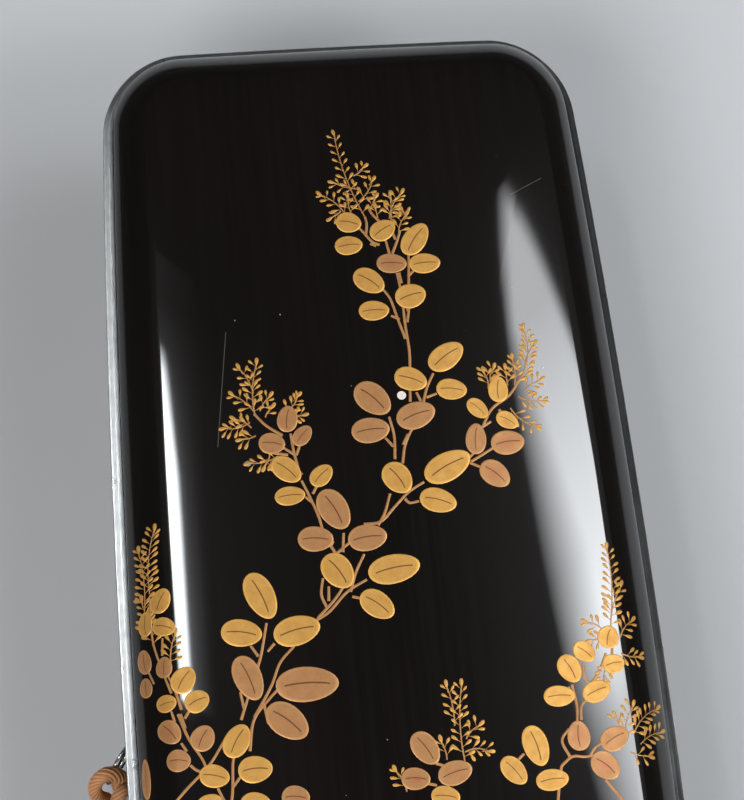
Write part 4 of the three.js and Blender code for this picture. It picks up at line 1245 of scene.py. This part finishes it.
def make_floor():
    size, height = FLOOR_HALF_SIZE, 0.0
    mesh = bpy.data.meshes.new("floor")
    mesh.from_pydata([(-size, -size, height), (size, -size, height), (size, size, height),
                      (-size, size, height)],
                     [], [(0, 1, 2, 3)])
    material, tree, shader = new_material("floor", Roughness=0.9)
    cloud = use_group(tree, MOTTLE, Size=60.0, Detail=3.0, Contrast=0.6)
    tree.links.new(blend_colours(tree, cloud, (0.52, 0.53, 0.545), (0.56, 0.57, 0.585)),
                   shader.inputs["Base Color"])
    mesh.materials.append(material)
    floor = bpy.data.objects.new("floor", mesh)
    bpy.context.scene.collection.objects.link(floor)


def panel_light(name, centre, along, across, length, width, power, colour=(1, 1, 1)):
    """Area light whose sides run along two given directions and which shines along -(along x across)."""
    data = bpy.data.lights.new(name, "AREA")
    data.shape = "RECTANGLE"
    data.size, data.size_y = length * MM, width * MM
    data.energy, data.color = power, colour
    light = bpy.data.objects.new(name, data)
    x = Vector(along).normalized()
    z = x.cross(Vector(across)).normalized()
    y = z.cross(x)
    turn = Matrix((x, y, z)).transposed().to_4x4()
    light.matrix_world = Matrix.Translation(Vector(centre) * MM) @ turn
    bpy.context.scene.collection.objects.link(light)
    return light


def panel_facing(name, centre, target, length, width, power, colour=(1, 1, 1)):
    away = (Vector(centre) - Vector(target)).normalized()
    along = Vector((0, 0, 1)).cross(away).normalized()
    return panel_light(name, centre, along, away.cross(along), length, width, power, colour)


# The panel at the right: a corner and a side of its far edge, set where its reflection begins on the lid
PANEL_CORNER = Vector((218, 384, 600))
PANEL_ALONG = Vector((89, -296, 0)).normalized()
PANEL_SPAN = (-10, 480)
PANEL_REACH = (-25, 125)
PANEL_SKEW = 1.657
# The strip whose reflection is the bright line inside the lid's left arris
STRIP_START = Vector((-180, 278, 600))
STRIP_ALONG = Vector((-47, -171, 0)).normalized()
STRIP_LENGTH = 177
STRIP_SPAN = (-70, 184)
STRIP_REACH = (-55, 50)
STRIP_BOW = 9.5


def eased(tree, value, start, end, low=0.0, high=1.0):
    """Runs from low to high as value runs from start to end, and holds outside them."""
    return join_tree(tree, "ShaderNodeMapRange", {0: value, 1: start, 2: end, 3: low, 4: high}).outputs[0]


def shaped_light(name, corner, along, span, reach, power, colour, glow):
    """Level panel. Its brightness is glow of the place along and across it, in mm from its corner."""
    across = Vector((0, 0, 1)).cross(along)
    centre = corner + along * sum(span) / 2 + across * sum(reach) / 2
    light = panel_light(name, centre, along, across, span[1] - span[0], reach[1] - reach[0], power, colour)
    light.data.use_nodes = True
    tree = light.data.node_tree
    place = join_tree(tree, "ShaderNodeNewGeometry").outputs["Parametric"]
    share_along, share_across, _ = join_tree(tree, "ShaderNodeSeparateXYZ", {0: place}).outputs
    a = sum_of(tree, "MULTIPLY_ADD", share_along, float(span[1] - span[0]), float(span[0]))
    b = sum_of(tree, "MULTIPLY_ADD", share_across, float(reach[1] - reach[0]), float(reach[0]))
    tree.links.new(glow(tree, a, b), tree.nodes["Emission"].inputs["Strength"])
    return light


def keep_off(light, names):
    """The light leaves these pieces alone."""
    spared = bpy.data.collections.new(light.name + "_spares")
    for name in names:
        spared.objects.link(bpy.data.objects[name])
    for entry in spared.collection_objects:
        entry.light_linking.link_state = "EXCLUDE"
    light.light_linking.receiver_collection = spared


def panel_glow(tree, a, b):
    """Grows brighter away from the panel's left side and down its length, then a little dimmer."""
    width = eased(tree, a, 84.0, 240.0, 14.0, 80.0)
    ramp = sum_of(tree, "DIVIDE", plus(tree, b, 10.0), width)
    rise = eased(tree, a, 84.0, 275.0, 0.48, 1.0)
    fall = eased(tree, a, 290.0, 335.0, 1.0, 0.6)
    edge = eased(tree, sum_of(tree, "MULTIPLY_ADD", b, -PANEL_SKEW, a), -8.0, 8.0)
    level = times(tree, eased(tree, ramp, 0.0, 1.0), times(tree, rise, fall))
    return times(tree, level, edge)


def strip_glow(tree, a, b):
    """A bright bowed line in a faint halo, fading out towards its far end."""
    share = sum_of(tree, "DIVIDE", a, float(STRIP_LENGTH))
    bow = times(tree, times(tree, share, minus(tree, 1.0, share)), 4.0 * STRIP_BOW)
    off = size_of(tree, plus(tree, b, bow))
    half = times(tree, eased(tree, share, 0.0, 0.35, 1.5, 7.5), eased(tree, share, 0.5, 1.0, 1.0, 0.75))
    core = times(tree, eased(tree, minus(tree, half, off), -5.0, 4.0), eased(tree, a, -12.0, 4.0))
    near = eased(tree, off, 46.0, 4.0)
    halo = times(tree, times(tree, near, near), eased(tree, a, -40.0, 140.0, 0.004, 0.06))
    return plus(tree, core, halo)


# Watts of each light, and the places and sizes of the plain ones in mm
RIGHT_PANEL_WATTS = 5.2
LEFT_STRIP_WATTS = 3.6
RIM_LIGHT_WATTS = 5.0
RIM_LIGHT_PLACE = (-545, 195, 600)
RIM_LIGHT_TARGET = (-44, 40, 38)
RIM_LIGHT_SIZE = (150, 120)
SOFTBOXES = {
    "near_left_softbox": ((-620, -620, 900), (700, 500), 11),
    "near_right_softbox": ((760, -520, 900), (600, 500), 8),
}
DAYLIGHT = (0.92, 0.95, 1, 1)
DAYLIGHT_STRENGTH = 0.035


def make_lights():
    right_panel = shaped_light("right_panel", PANEL_CORNER, PANEL_ALONG, PANEL_SPAN, PANEL_REACH,
                               RIGHT_PANEL_WATTS, (0.94, 0.97, 1),
                               panel_glow)
    keep_off(right_panel, ("lid_band", "tray_band"))
    shaped_light("left_strip", STRIP_START, STRIP_ALONG, STRIP_SPAN, STRIP_REACH, LEFT_STRIP_WATTS,
                 (0.92, 0.96, 1), strip_glow)
    rim_light = panel_facing("rim_light", RIM_LIGHT_PLACE, RIM_LIGHT_TARGET, *RIM_LIGHT_SIZE,
                             RIM_LIGHT_WATTS, (0.96, 0.98, 1))
    lit = bpy.data.collections.new("lit_rim")
    lit.objects.link(bpy.data.objects["lid_band"])
    rim_light.light_linking.receiver_collection = lit
    for name, (place, sides, watts) in SOFTBOXES.items():
        panel_facing(name, place, (0, 0, 0), *sides, watts)
    world = bpy.data.worlds.new("studio")
    world.use_nodes = True
    world.node_tree.nodes["Background"].inputs[0].default_value = DAYLIGHT
    world.node_tree.nodes["Background"].inputs[1].default_value = DAYLIGHT_STRENGTH
    bpy.context.scene.world = world
    bpy.context.scene.view_settings.view_transform = "Standard"


make_floor()
make_lights()
